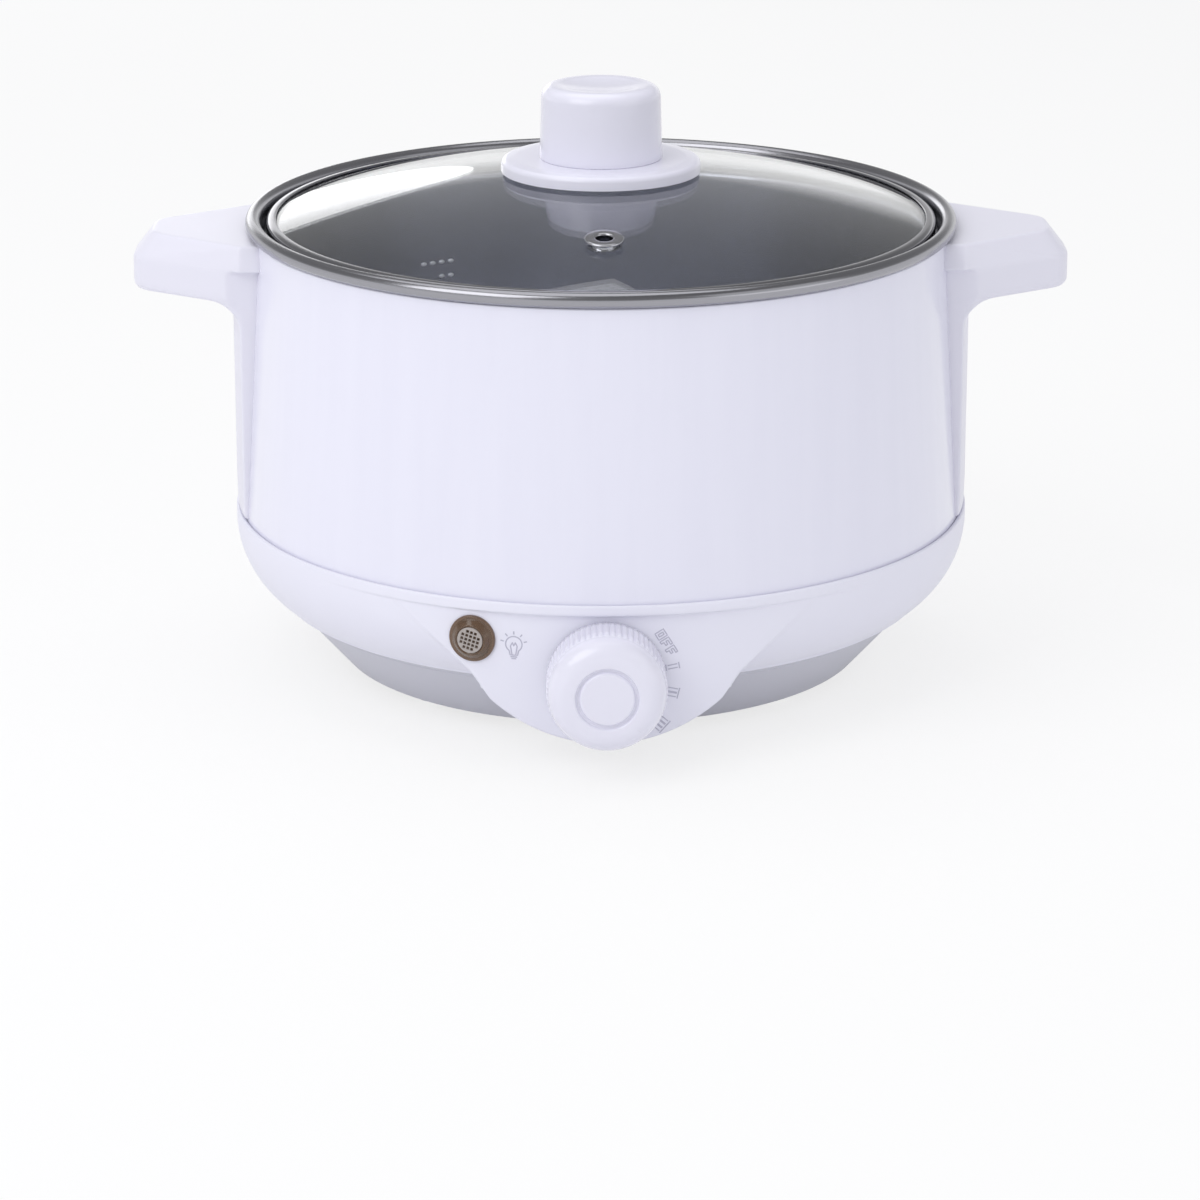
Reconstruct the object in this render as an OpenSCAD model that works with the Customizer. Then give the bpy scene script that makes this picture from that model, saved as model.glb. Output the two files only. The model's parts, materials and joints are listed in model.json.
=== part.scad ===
// Countertop electric cooker: a steel pot in a white shell on a moulded base, with a loose glass lid.
// Lengths are millimetres. The control panel faces -Y, the handles lie along X, the table is z = 0.

/* [Pot] */
// Inner diameter of the pot
pot_d = 180; // [165:1:220]
// Depth of the pot from the lid's ledge to its floor
pot_depth = 72.7; // [60:0.1:100]
// Thickness of the pot's sheet
pot_wall = 0.8; // [0.6:0.1:1.2]
// Radius of the corner between the pot's wall and its floor
pot_corner = 12; // [6:1:18]
// Width of the ledge that carries the lid
ledge_w = 5.4; // [4.5:0.1:7]
// Depth of the ledge below the top of the rim
ledge_drop = 6.8; // [6:0.1:9]
// Diameter of the rolled rim
bead_d = 4.2; // [3.4:0.1:5]

/* [Shell] */
// Wall of the outer shell
shell_wall = 1.2; // [0.8:0.1:2]
// How much wider the shell is at its foot than under the rim, on the radius
shell_flare = 4.6; // [2:0.1:8]
// How far the shell's top edge lies outside the middle of the rim
shell_out = 0.4; // [0:0.1:1]
// How deep the shell stands in the base
seat_drop = 2.5; // [1.5:0.1:4]

/* [Base] */
// How far the base stands proud of the shell
base_lip = 1.3; // [1:0.1:3]
// Wall of the base
base_wall = 2.5; // [2:0.1:3]
// Height of the straight band under the seam
band_h = 3; // [2.6:0.1:6]
// Height of the curved bowl under the band
bowl_h = 22.2; // [20:0.1:28]
// How far the bowl draws in from the band to its lip
bowl_in = 12.5; // [9:0.1:14]
// Height of the pot's floor above the seam
floor_rise = 4; // [2:0.1:10]

/* [Bottom cover] */
// Height of the cover's tapered skirt
skirt_h = 17.8; // [15:0.1:24]
// How far the skirt draws in from top to bottom
skirt_in = 15.7; // [8:0.1:18]
// How far the bowl's lip overhangs the skirt
skirt_step = 1; // [0.5:0.1:2]
// Wall of the cover
cover_wall = 2; // [1.6:0.1:3]
// Thickness of the cover's floor
cover_floor = 2.4; // [2:0.1:4]
// Height of the rubber feet
foot_h = 3; // [2.5:0.1:6]
// Diameter of the rubber feet
foot_d = 14; // [10:1:18]
// Number of vent slots in the cover's floor
vent_count = 16; // [8:1:24]

/* [Control panel] */
// How far the middle of the panel lies behind the band
panel_in = 1.6; // [0.8:0.1:3]
// Radius of the panel's face
panel_curve_r = 112; // [108:1:140]
// How far the panel hangs below the bowl's lip
chin_drop = 14; // [11:0.1:16]
// Radius of the panel's lower edge
chin_r = 48.5; // [40:0.5:60]
// Half width of the panel where its round edge ends
chin_arc_w = 31; // [26:0.5:34]
// Half width of the panel at its knee
chin_knee_w = 36; // [35:0.5:42]
// Half width of the panel under the band
chin_top_w = 57.5; // [50:0.5:64]
// Height of the switch's axis above the panel's lowest point
knob_rise = 18.7; // [17:0.1:24]
// Diameter of the pilot lamp's window
lens_d = 12.8; // [10:0.1:14]
// How far the lamp lies to the left of the knob
lamp_x = 35.5; // [30:0.1:40]

/* [Control knob] */
// Diameter of the knob over its ribs
knob_d = 32; // [29:0.5:36]
// Height of the knob
knob_h = 16.8; // [15:0.1:20]
// Length of the ribbed band
rib_l = 10.6; // [8:0.1:12]
// Number of ribs
rib_count = 60; // [40:2:80]
// Depth of the ribs
rib_depth = 0.5; // [0.3:0.05:0.8]
// Radius of the knob's round shoulder
shoulder_r = 5.4; // [3:0.1:6]
// Diameter of the disc in the middle of the knob
disc_d = 14.3; // [11:0.1:16]
// Diameter of the switch's shaft
shaft_d = 6; // [5:0.1:7]

/* [Handles] */
// How far a grip reaches from the pot's axis
grip_reach = 131.5; // [124:0.5:145]
// Width of a grip at the shell
grip_root_w = 58; // [46:1:60]
// Width of a grip near its end
grip_tip_w = 27; // [24:1:40]
// Height of a grip
grip_h = 16.3; // [12:0.1:18]
// Height of a grip's upright side
grip_side_h = 9.2; // [5:0.1:11]
// How far a grip's top draws in
grip_bevel = 4; // [2:0.1:6]
// Width of the strap under a grip
strap_w = 53; // [36:1:54]
// How far the strap stands proud of the shell's foot
strap_proud = 1; // [0.8:0.1:3]
// Radius between the strap and the underside of the grip
grip_fillet = 8; // [4:0.5:14]

/* [Lid] */
// Gap round the lid in the pot's mouth
lid_gap = 1.2; // [0.6:0.1:2]
// Radius of the glass dome
dome_r = 320; // [250:5:500]
// Thickness of the glass
glass_t = 3.5; // [3:0.1:5]
// Thickness of the lid's steel band
rim_t = 0.6; // [0.4:0.1:0.9]
// Width of the lid's steel band
rim_w = 2.8; // [2:0.1:4]
// Diameter of the lid's knob at its top
lid_knob_d = 33.4; // [28:0.1:40]
// Height of the lid's knob above its collar
lid_knob_h = 20.8; // [16:0.1:28]
// Diameter of the collar under the lid's knob
collar_d = 56; // [48:1:66]
// Thickness of the collar
collar_t = 3.2; // [2.6:0.1:5]
// Distance of the steam vent from the lid's middle
vent_r = 62; // [45:1:75]
// Outer diameter of the vent's eyelet
eyelet_d = 10.6; // [9:0.1:13]

/* [Heater and wiring] */
// Diameter of the heater plate
plate_d = 128; // [116:1:136]
// Thickness of the heater plate
plate_t = 6; // [5:0.1:8]
// Diameter of the element's sheath
sheath_d = 7; // [5.5:0.1:8]
// Radius of the element's ring
element_r = 46; // [42:0.5:52]
// Distance of the studs from the middle
stud_x = 28; // [24:0.5:34]
// Diameter of the studs
stud_d = 4; // [3:0.1:5]
// Length of the spacers between heater plate and shield
spacer_l = 12.4; // [11.5:0.1:14]
// Diameter of the heat shield
shield_d = 132; // [116:1:136]
// Width of the tie strap
tie_w = 24; // [16:1:28]
// Bore of the gland for the mains lead
gland_bore_d = 7.2; // [6:0.1:8]
// Diameter of the inner leads
lead_d = 2.8; // [2:0.1:3]

/* [Hidden] */
$fn = 96;
dome_fn = 360;
hull_fn = 32;
over = 1;
far = 400;

// Clearances between pieces
fit = 0.1;
slide_fit = 0.05;
seat_gap = 0.2;
knob_gap = 0.5;

// Radii outward from the pot
pot_r = pot_d / 2;
mouth_r = pot_r + ledge_w;
bead_r = bead_d / 2;
bead_cr = mouth_r + pot_wall / 2 + bead_r;
shell_top_r = bead_cr + shell_out;
shell_bot_r = shell_top_r + shell_flare;
base_r = shell_bot_r + base_lip;
bowl_r = (bowl_h * bowl_h + bowl_in * bowl_in) / (2 * bowl_in);
bowl_cr = base_r - bowl_r;
lip_r = base_r - bowl_in;
skirt_top_r = lip_r - skirt_step;
cover_r = skirt_top_r - skirt_in;

// Heights upward from the table
floor_top_z = foot_h + cover_floor;
lip_z = foot_h + skirt_h;
band_z = lip_z + bowl_h;
seam_z = band_z + band_h;
shell_seat_z = seam_z - seat_drop;
floor_z = seam_z + floor_rise;
ledge_z = floor_z + pot_depth;
rim_z = ledge_z + ledge_drop;
shell_top_z = rim_z - bead_d - fit;

// Outer radius of the shell, and inner radius of the base, at a height
function shell_r(z) =
    shell_bot_r + (shell_top_r - shell_bot_r) * (z - shell_seat_z) / (shell_top_z - shell_seat_z);
function base_in_r(z) = bowl_cr + sqrt(pow(bowl_r - base_wall, 2) - pow(band_z - z, 2));

// Heater stack downward from the pot's floor
plate_r = plate_d / 2;
sheath_r = sheath_d / 2;
plate_top_z = floor_z - pot_wall;
plate_z = plate_top_z - plate_t;
shield_t = 0.8;
shield_top_z = plate_z - spacer_l;
shield_z = shield_top_z - shield_t;
tie_t = 1.5;
tie_z = shield_z - tie_t;
nut_h = 3.2;
nut_af = 1.8 * stud_d;
stud_tail = 1;
spacer_wall = 3;
stud_end_z = tie_z - nut_h - stud_tail;
tie_boss_r = 5;
tie_boss_x = base_in_r(shield_z) - 2.4 * tie_boss_r;
tie_boss_h = 11;
tie_half = tie_boss_x + 1.2 * tie_boss_r;

// Element's two cold ends, on both sides of the front
element_gap_a = 40;
element_a0 = -90 + element_gap_a / 2;
element_turn = 360 - element_gap_a;
sheath_gap = 2;
sheath_end_z = shield_top_z + sheath_gap;
sheath_collar = 0.4;
pin_r = 1.5;
pin_l = 4.5;
pin_end_z = tie_z - pin_l;
pin_x = element_r * sin(element_gap_a / 2);
pin_y = -element_r * cos(element_gap_a / 2);
pin_hole_r = sheath_r + sheath_collar + 0.7;

// Screws: shank, head and thread hole, shared by all of one size
screw_r = 1.95;
screw_hole_r = screw_r + slide_fit;
screw_free_r = screw_r + 0.3;
screw_head_r = 3.6;
screw_head_h = 2;
screw_spare = 1;
head_gap = 0.3;

// Screws and feet of the bottom cover
cover_boss_r = 4.6;
cover_draft = 0.6;
cover_wall_low = cover_wall + cover_draft;
cover_boss_pr = cover_r - cover_wall_low - cover_boss_r - seat_gap;
shield_gap = 1;
cover_boss_top = shield_z - shield_gap;
cover_screw_l = 9;
cover_screw_count = 4;
spigot_h = 3;
spigot_t = 2;
spigot_r = base_in_r(lip_z) - seat_gap;
fin_t = 2;
fin_z = lip_z + spigot_h + knob_gap;
foot_r = foot_d / 2;
foot_count = 4;
foot_inset = 13;
foot_pr = cover_r - foot_inset;
foot_stem_r = 2.4;
foot_bulb_r = 3.3;
foot_bulb_h = 2.2;
vent_w = 3;
vent_in_r = 24;
vent_l = 22;

// Panel and its round front
panel_y = base_r - panel_in;
panel_cy = panel_curve_r - panel_y;
chin_z = lip_z - chin_drop;
chin_arc_z = chin_z + chin_r - sqrt(chin_r * chin_r - chin_arc_w * chin_arc_w);
chin_knee_h = 7;
chin_knee_z = chin_arc_z + chin_knee_h;
chin_back_inset = 3;
chin_back = cover_r - chin_back_inset;
chin_steps = 10;
panel_top = 0.4;
knob_z = chin_z + knob_rise;

// Rotary switch behind the panel
switch_w = 26;
switch_half_h = 12;
switch_l = 15;
switch_wall = 2;
switch_cover_t = 2;
switch_sag_r = panel_curve_r - base_wall;
switch_y = panel_y - base_wall - switch_sag_r
    + sqrt(switch_sag_r * switch_sag_r - switch_w * switch_w / 4) - fit;
switch_boss_r = 8;
switch_cavity_r = 10.5;
bush_wall = 1.9;
bush_r = shaft_d / 2 + bush_wall;
bush_out = 3.6;
panel_seat = 0.5;
panel_seat_y = panel_y - panel_seat;
switch_nut_h = 2.6;
switch_nut_r = bush_r + 3.2;
shaft_r = shaft_d / 2;
shaft_flat = 0.7;
rotor_r = 9;
rotor_h = 8;
cam_gap = 2;
rotor_notch_r = 1.6;
rotor_step_a = 25;
shaft_tail = 1.2;
tab_w = 6.3;
tab_t = 0.8;
tab_l = 8;
tab_x = 7;
tab_z = 5;
tab_y = switch_y - switch_l - switch_cover_t;

// Knob on the shaft
knob_back_y = panel_y + knob_gap;
knob_r = knob_d / 2;
knob_wall = 2.4;
knob_hollow = 9;
knob_boss_r = shaft_r + 2.6;
knob_boss_in = bush_out + 1;
shaft_in_knob = 13.4;
groove_w = 1.3;
groove_depth = 1.1;
groove_r = disc_d / 2 + groove_w;
pointer_l = 3.6;
pointer_gap = 0.4;
pointer_w = 2.2;
pointer_a = -46;

// Pilot lamp
lens_r = lens_d / 2;
lens_t = 1.6;
lens_crown = 1.2;
lens_flange = 1.2;
lamp_margin = 1.6;
lamp_z = band_z - lens_r - lamp_margin;
lamp_boss_wall = 1.4;
lamp_boss_r = lens_r + lamp_boss_wall;
lamp_seat_y = sqrt(pow(panel_curve_r, 2) - pow(lamp_x + lens_r, 2)) - panel_cy + seat_gap;
lamp_wall = 4;
lens_seat = 2;
barrel_r = lens_r - lens_seat;
barrel_l = 10.6;
barrel_wall = 1.2;
holder_t = 1.1;
holder_l = 8.6;
holder_end = 1.8;
bulb_r = 2.4;
bulb_l = 6;
lamp_back_y = lamp_seat_y - lamp_wall - holder_l;

// Handles
grip_z = shell_top_z - grip_h;
strap_r = shell_bot_r + strap_proud;
strap_z = seam_z + head_gap;
strap_top_z = grip_z + grip_side_h;
strap_gap = 0.15;
grip_tip_r = 9;
grip_under = 1.4;
grip_top_t = 1;
grip_root_l = 2;
grip_root_x = shell_top_r + grip_root_l;
handle_screw_a = 8;
handle_screw_h = 4.8;
handle_screw_z = grip_z + handle_screw_h;
handle_screw_l = 14;

// Lid
lid_r = mouth_r - lid_gap;
lid_z = ledge_z + seat_gap;
glass_r = lid_r - rim_t - fit;
glass_edge_z = lid_z + rim_t + fit;
dome_in_r = dome_r - glass_t;
dome_z = glass_edge_z - sqrt(dome_in_r * dome_in_r - glass_r * glass_r);
rim_in_r = lid_r - rim_w;
rim_top_z = dome_z + sqrt(dome_r * dome_r - rim_in_r * rim_in_r) + fit + rim_t;
gasket_t = 0.7;
gasket_r = 22;
collar_r = collar_d / 2;
collar_edge_r = 1.4;
collar_z = dome_z + dome_r + gasket_t - 0.6;
collar_top_z = collar_z + collar_t;
lid_knob_r = lid_knob_d / 2;
lid_knob_draft = 0.5;
lid_knob_round = 3.6;
lid_knob_wall = 2.8;
lid_knob_dish = 1.2;
dish_r = 11.5;
lid_boss_r = 4.6;
lid_hole_r = 4.5;
lid_washer_r = 9;
lid_washer_t = 1;
lid_washer_top = dome_z + sqrt(dome_in_r * dome_in_r - lid_washer_r * lid_washer_r);
lid_screw_top = collar_top_z + 0.6 * lid_knob_h;
eyelet_r = eyelet_d / 2;
eyelet_t = 0.7;
eyelet_flange = 1.9;
eyelet_tube_r = eyelet_r - eyelet_flange;
eyelet_wall = 1.1;
eyelet_curl = 0.6;
vent_tilt = asin(vent_r / dome_r);

// Cutout under the plate
cutout_r = 7.4;
cutout_h = 8.2;
cutout_ear_t = 1;
cutout_ear_w = 8;
cutout_screw_y = 11;
cutout_ear_y = cutout_screw_y + 3.5;
cutout_screw_r = 1.45;
cutout_screw_l = 4;
cutout_head_r = 2.6;
cutout_head_h = 1.8;
cutout_tab_z = plate_z - cutout_h + 0.6;
cutout_tab_l = 8;

// Mains inlet at the back
port_r = 9.2;
port_margin = 0.6;
port_z = band_z - port_r - port_margin;
port_proud = 0.3;
port_l = 12.5;
port_y = base_r + port_proud;
port_in_y = port_y - port_l;
gland_r = 6.5;
gland_flange_r = 8.4;
gland_flange_t = 2;
gland_nut_t = 3;

// Terminal block on the cover's floor
block_x = [9, 35];
block_y = [41, 59];
block_h = 12;
block_way_x = [14, 22, 30];
block_way_h = 5.6;
block_way_z = floor_top_z + block_way_h;
block_way_r = 2;
block_way_l = 7;
block_screw_y = 53.5;

// The pot's axis stands behind the middle of the whole length
front_reach = knob_back_y + knob_h;
back_reach = port_y + gland_flange_t;
axis_y = (front_reach - back_reach) / 2;

// Routes of the inner leads, from end to end
lead_sides = 8;
lead_r = lead_d / 2;
lamp_lead_r = 1;
shield_hole_r = 3.6;
live_hole = [15, 24];
switch_hole = [-12, -26];
live_route = [
    [14, 41, block_way_z], [14, 37, block_way_z], [15, 30, 14], [15, 24.5, 20], [15, 24, 26],
    [15, 24, 32], [14.5, 20, 35.2], [13, 12, cutout_tab_z], [12, 6, cutout_tab_z],
    [12, tab_w / 2, cutout_tab_z]
];
switch_route = [
    [-12, -tab_w / 2, cutout_tab_z], [-12, -8, cutout_tab_z], [-12, -17, cutout_tab_z - 0.4], [-12, -24, 34],
    [-12, -26, 30.5], [-12, -27, 25], [-11, -33, 21.5], [-9, -46, 21], [-7.5, -58, 21.5],
    [-tab_x, -65.5, 24.5], [-tab_x, -69.5, 28.5], [-tab_x, -72, knob_z + tab_z],
    [-tab_x, tab_l - tab_y, knob_z + tab_z]
];
element_route = [
    [tab_x, tab_l - tab_y, knob_z - tab_z], [tab_x, -71, knob_z - tab_z], [8, -63, 18.5], [11, -54, 16.5],
    [14.5, -47, 16.5], [pin_x, pin_y, 19], [pin_x, pin_y, pin_end_z]
];
neutral_route = [
    [-pin_x, pin_y, pin_end_z], [-pin_x, pin_y, 19.5], [-15.5, -40, 15], [-13, -31, 12], [-6, -12, 11],
    [6, 10, 11], [16, 25, 11], [21, 34, block_way_z], [22, 38, block_way_z], [22, 41, block_way_z]
];
earth_route = [
    [30, 41, block_way_z], [30, 38, block_way_z], [35, 29, 12], [42, 17, 15], [44.5, 9, 20],
    [45, 6, 24.5], [45, 6, tie_z]
];
lamp_route_a = [
    [1.5 - lamp_x, -lamp_back_y, lamp_z], [1.5 - lamp_x, 3 - lamp_back_y, lamp_z], [-29, -73.5, 31],
    [-21, -69, 25], [-13, -67, 21.5], [-8.5, -68, knob_z - tab_z], [-tab_x, -71, knob_z - tab_z],
    [-tab_x, tab_l - tab_y, knob_z - tab_z]
];
lamp_route_b = [
    [-1.5 - lamp_x, -lamp_back_y, lamp_z], [-1.5 - lamp_x, 3 - lamp_back_y, lamp_z], [-34, -74, 37],
    [-23, -69.5, 38], [-10, -68.5, 38], [1, -68.5, 36], [6, -69, 32], [tab_x, -71.5, knob_z + tab_z],
    [tab_x, tab_l - tab_y, knob_z + tab_z]
];

// Puts a piece that is drawn round the pot's axis in its place
module place() {
    translate([0, axis_y, 0]) children();
}

// Local +Z points out of the panel along the switch's axis, from a distance y0 in front of the pot's axis
module on_switch(y0) {
    translate([0, -y0, knob_z]) rotate([90, 0, 0]) children();
}

module on_lamp(y0) {
    translate([-lamp_x, -y0, lamp_z]) rotate([90, 0, 0]) children();
}

// Local +Z points out of the back along the mains inlet
module on_port(y0) {
    translate([0, y0, port_z]) rotate([-90, 0, 0]) children();
}

// Local +Z points away from the glass, from its outer face at the vent
module on_vent() {
    translate([0, 0, dome_z]) rotate([vent_tilt, 0, 0]) translate([0, 0, dome_r]) children();
}

module round_copies(count, radius, start = 0) {
    for (i = [0 : count - 1]) rotate([0, 0, start + i * 360 / count]) translate([radius, 0, 0]) children();
}

module ring(outer, inner, height) {
    difference() {
        cylinder(r = outer, h = height);
        translate([0, 0, -over]) cylinder(r = inner, h = height + 2 * over);
    }
}

// Pan head below z = 0 and shank above it
module screw(shank, length, head, head_h) {
    cylinder(r = shank, h = length);
    translate([0, 0, -head_h]) cylinder(r = head, h = head_h);
}

// Sweep of a round lead along its route
function unit(v) = v / norm(v);
function run(p, i) = unit(p[min(i + 1, len(p) - 1)] - p[max(i - 1, 0)]);
function square_to(v, t) = unit(v - (v * t) * t);
function carried(p, i, side) =
    i >= len(p) ? [] : let (m = square_to(side, run(p, i))) concat([m], carried(p, i + 1, m));

module lead(route, radius) {
    first = abs(run(route, 0)[2]) > 0.8 ? [1, 0, 0] : [0, 0, 1];
    sides = carried(route, 0, first);
    last = len(route) - 1;
    n = lead_sides;
    points = [
        for (i = [0 : last]) let (across = cross(run(route, i), sides[i]))
            for (k = [0 : n - 1])
                route[i] + radius * (cos(360 * k / n) * sides[i] + sin(360 * k / n) * across)
    ];
    skin = [
        for (i = [0 : last - 1]) for (k = [0 : n - 1]) let (a = i * n + k, b = i * n + (k + 1) % n)
            each [[a, a + n, b + n], [a, b + n, b]]
    ];
    near_end = [for (k = [1 : n - 2]) [0, k, k + 1]];
    far_end = [for (k = [1 : n - 2]) [last * n, last * n + k + 1, last * n + k]];
    polyhedron(points = points, faces = concat(skin, near_end, far_end));
}

module inner_pot() {
    color("silver") rotate_extrude() {
        translate([bead_cr, rim_z - bead_r]) circle(r = bead_r);
        translate([mouth_r, ledge_z - pot_wall]) square([pot_wall, ledge_drop + pot_wall - bead_r]);
        translate([pot_r, ledge_z - pot_wall]) square([ledge_w + pot_wall, pot_wall]);
        translate([pot_r, floor_z + pot_corner]) square([pot_wall, pot_depth - pot_corner]);
        intersection() {
            translate([pot_r - pot_corner, floor_z + pot_corner]) difference() {
                circle(r = pot_corner + pot_wall);
                circle(r = pot_corner);
            }
            translate([pot_r - pot_corner, floor_z - pot_wall])
                square([pot_corner + pot_wall, pot_corner + pot_wall]);
        }
        translate([0, floor_z - pot_wall]) square([pot_r - pot_corner, pot_wall]);
    }
}

module shell_cone(inset, low, high) {
    rotate_extrude() polygon([
        [0, low], [shell_r(low) - inset, low], [shell_r(high) - inset, high], [0, high]
    ]);
}

module outer_shell() {
    color("white") difference() {
        shell_cone(0, shell_seat_z, shell_top_z);
        shell_cone(shell_wall, shell_seat_z - over, shell_top_z + over);
        handle_screw_places() cylinder(r = screw_free_r, h = 2 * handle_screw_l, center = true);
    }
}

// Each screw's local +Z runs outward through the shell into a grip
module handle_screw_places() {
    head_r = shell_r(handle_screw_z) - shell_wall - head_gap;
    for (side = [0, 180]) for (a = [-handle_screw_a, handle_screw_a])
        rotate([0, 0, side + a]) translate([head_r, 0, handle_screw_z]) rotate([0, 90, 0]) children();
}

// Outline of the control panel, seen from the front
module chin_outline(inset) {
    reach = asin(chin_arc_w / chin_r);
    arc = chin_r - inset;
    polygon([
        for (i = [-chin_steps : chin_steps]) let (a = i * reach / chin_steps)
            [arc * sin(a), chin_z + chin_r - arc * cos(a)],
        [chin_knee_w - inset, chin_knee_z], [chin_top_w - inset, band_z + over],
        [-chin_top_w + inset, band_z + over], [-chin_knee_w + inset, chin_knee_z]
    ]);
}

module panel_drum(inset) {
    translate([0, panel_cy, 0]) cylinder(r = panel_curve_r - inset, h = far);
}

module chin_prism(inset, back) {
    rotate([90, 0, 0]) translate([0, 0, back]) linear_extrude(height = base_r + over - back)
        chin_outline(inset);
}

module chin(inset, back) {
    intersection() {
        chin_prism(inset, back);
        panel_drum(inset);
    }
}

// What the panel's face takes off the bowl
module panel_cut() {
    difference() {
        translate([-far / 2, -far, lip_z]) cube([far, far - cover_r, bowl_h - panel_top]);
        panel_drum(0);
    }
}

// Body of revolution of the base, filled, drawn in by an inset and carried on below its lip
module base_fill(inset, below, above) {
    rotate_extrude() {
        translate([0, band_z]) square([base_r - inset, band_h + above]);
        translate([0, lip_z - below]) square([bowl_cr, bowl_h + below]);
        intersection() {
            translate([bowl_cr, band_z]) circle(r = bowl_r - inset);
            translate([bowl_cr, lip_z - below]) square([bowl_r, bowl_h + below]);
        }
    }
}

module tie_bosses() {
    for (side = [-1, 1]) translate([side * tie_boss_x, 0, shield_z]) {
        cylinder(r = tie_boss_r, h = tie_boss_h);
        translate([side > 0 ? 0 : -far, -fin_t, 0]) cube([far, 2 * fin_t, tie_boss_h]);
    }
}

module cover_bosses() {
    round_copies(cover_screw_count, cover_boss_pr, 45) {
        translate([0, 0, floor_top_z]) cylinder(r = cover_boss_r, h = cover_boss_top - floor_top_z);
        translate([0, -fin_t / 2, fin_z]) cube([far, fin_t, cover_boss_top - fin_z]);
    }
}

module port_boss() {
    on_port(port_in_y) cylinder(r = port_r, h = port_y - port_in_y);
}

module base_shell() {
    difference() {
        union() {
            difference() {
                base_fill(0, 0, 0);
                panel_cut();
            }
            chin(0, chin_back);
            port_boss();
        }
        difference() {
            base_fill(base_wall, over, over);
            port_boss();
        }
        chin(base_wall, chin_back - over);
        rotate_extrude() translate([0, shell_seat_z]) square([shell_bot_r + fit, seat_drop + over]);
    }
}

module base_housing() {
    color("whitesmoke") difference() {
        union() {
            base_shell();
            intersection() {
                union() {
                    tie_bosses();
                    cover_bosses();
                }
                union() {
                    base_fill(base_wall / 2, 0, 0);
                    cylinder(r = cover_boss_pr + cover_boss_r + over, h = lip_z + over);
                }
            }
            on_switch(switch_y) cylinder(r = switch_boss_r, h = panel_seat_y - switch_y);
            intersection() {
                on_lamp(lamp_seat_y - lamp_wall) cylinder(r = lamp_boss_r, h = base_wall + lamp_wall);
                panel_drum(base_wall / 2);
            }
        }
        on_switch(panel_seat_y) cylinder(r = switch_nut_r + over, h = base_wall);
        on_switch(switch_y - over) cylinder(r = bush_r + fit, h = 3 * base_wall);
        on_lamp(lamp_seat_y) cylinder(r = lens_r + seat_gap, h = 3 * base_wall);
        on_lamp(lamp_seat_y - lamp_wall - over) cylinder(r = barrel_r + fit, h = 3 * base_wall);
        on_port(port_in_y - over) cylinder(r = gland_r + fit, h = port_y - port_in_y + 2 * over);
        for (side = [-1, 1]) translate([side * tie_boss_x, 0, shield_z - over])
            cylinder(r = screw_hole_r, h = tie_boss_h - screw_spare);
        round_copies(cover_screw_count, cover_boss_pr, 45) translate([0, 0, floor_top_z - over])
            cylinder(r = screw_hole_r, h = cover_screw_l + over);
    }
}

module bottom_cover() {
    color("gainsboro") difference() {
        rotate_extrude() {
            polygon([
                [0, foot_h], [cover_r, foot_h], [skirt_top_r, lip_z], [skirt_top_r - cover_wall, lip_z],
                [cover_r - cover_wall_low, floor_top_z], [0, floor_top_z]
            ]);
            translate([spigot_r - spigot_t, lip_z - spigot_t])
                square([skirt_top_r - cover_wall - spigot_r + spigot_t + over / 2, spigot_t]);
            translate([spigot_r - spigot_t, lip_z - spigot_t]) square([spigot_t, spigot_t + spigot_h]);
        }
        chin_prism(-seat_gap, chin_back - 2 * over);
        round_copies(cover_screw_count, cover_boss_pr, 45) cylinder(r = screw_free_r, h = lip_z);
        round_copies(foot_count, foot_pr) cylinder(r = foot_stem_r + fit, h = lip_z);
        round_copies(vent_count, vent_in_r, 180 / vent_count)
            translate([0, -vent_w / 2, 0]) cube([vent_l, vent_w, lip_z]);
    }
}

module grip_plan(inset) {
    hull() {
        translate([0, -grip_root_w / 2 + 0.6 * inset]) square([grip_root_x, grip_root_w - 1.2 * inset]);
        for (side = [-1, 1])
            translate([grip_reach - inset - grip_tip_r, side * (grip_tip_w / 2 - grip_tip_r)])
                circle(r = max(grip_tip_r - 0.4 * inset, 1), $fn = hull_fn);
    }
}

module grip_layer(z, height, inset) {
    translate([0, 0, z]) linear_extrude(height = height) grip_plan(inset);
}

module strap() {
    intersection() {
        rotate_extrude() polygon([
            [shell_r(strap_z) - shell_wall, strap_z], [strap_r, strap_z],
            [strap_r, strap_top_z], [shell_r(strap_top_z) - shell_wall, strap_top_z]
        ]);
        translate([0, -strap_w / 2, 0]) cube([far, strap_w, far]);
    }
}

module under_fillet() {
    low = grip_z - grip_fillet;
    intersection() {
        rotate_extrude() difference() {
            translate([strap_r - over, low]) square([grip_fillet + over, grip_fillet + grip_under / 2]);
            translate([strap_r + grip_fillet - slide_fit, low]) circle(r = grip_fillet);
        }
        translate([0, fit - strap_w / 2, 0]) cube([far, strap_w - 2 * fit, far]);
        grip_layer(low - over, grip_fillet + grip_h, grip_under);
    }
}

// What the grip's lower half leaves free on both sides of the strap
module root_step() {
    for (side = [0, 1]) mirror([0, side, 0])
        translate([0, strap_w / 2 + fit, grip_z - over]) cube([far, far, grip_side_h + over]);
}

module grip() {
    difference() {
        union() {
            difference() {
                hull() {
                    grip_layer(grip_z, grip_under, grip_under / 2);
                    grip_layer(grip_z + grip_under, grip_side_h - grip_under, 0);
                    grip_layer(grip_z + grip_h - grip_top_t, grip_top_t, grip_bevel);
                }
                root_step();
            }
            strap();
            under_fillet();
        }
        shell_cone(-strap_gap, shell_seat_z, shell_top_z + over);
        handle_screw_places() cylinder(r = screw_hole_r, h = handle_screw_l + over);
    }
}

module right_handle() {
    color("white") grip();
}

module left_handle() {
    color("white") mirror([1, 0, 0]) grip();
}

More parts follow.
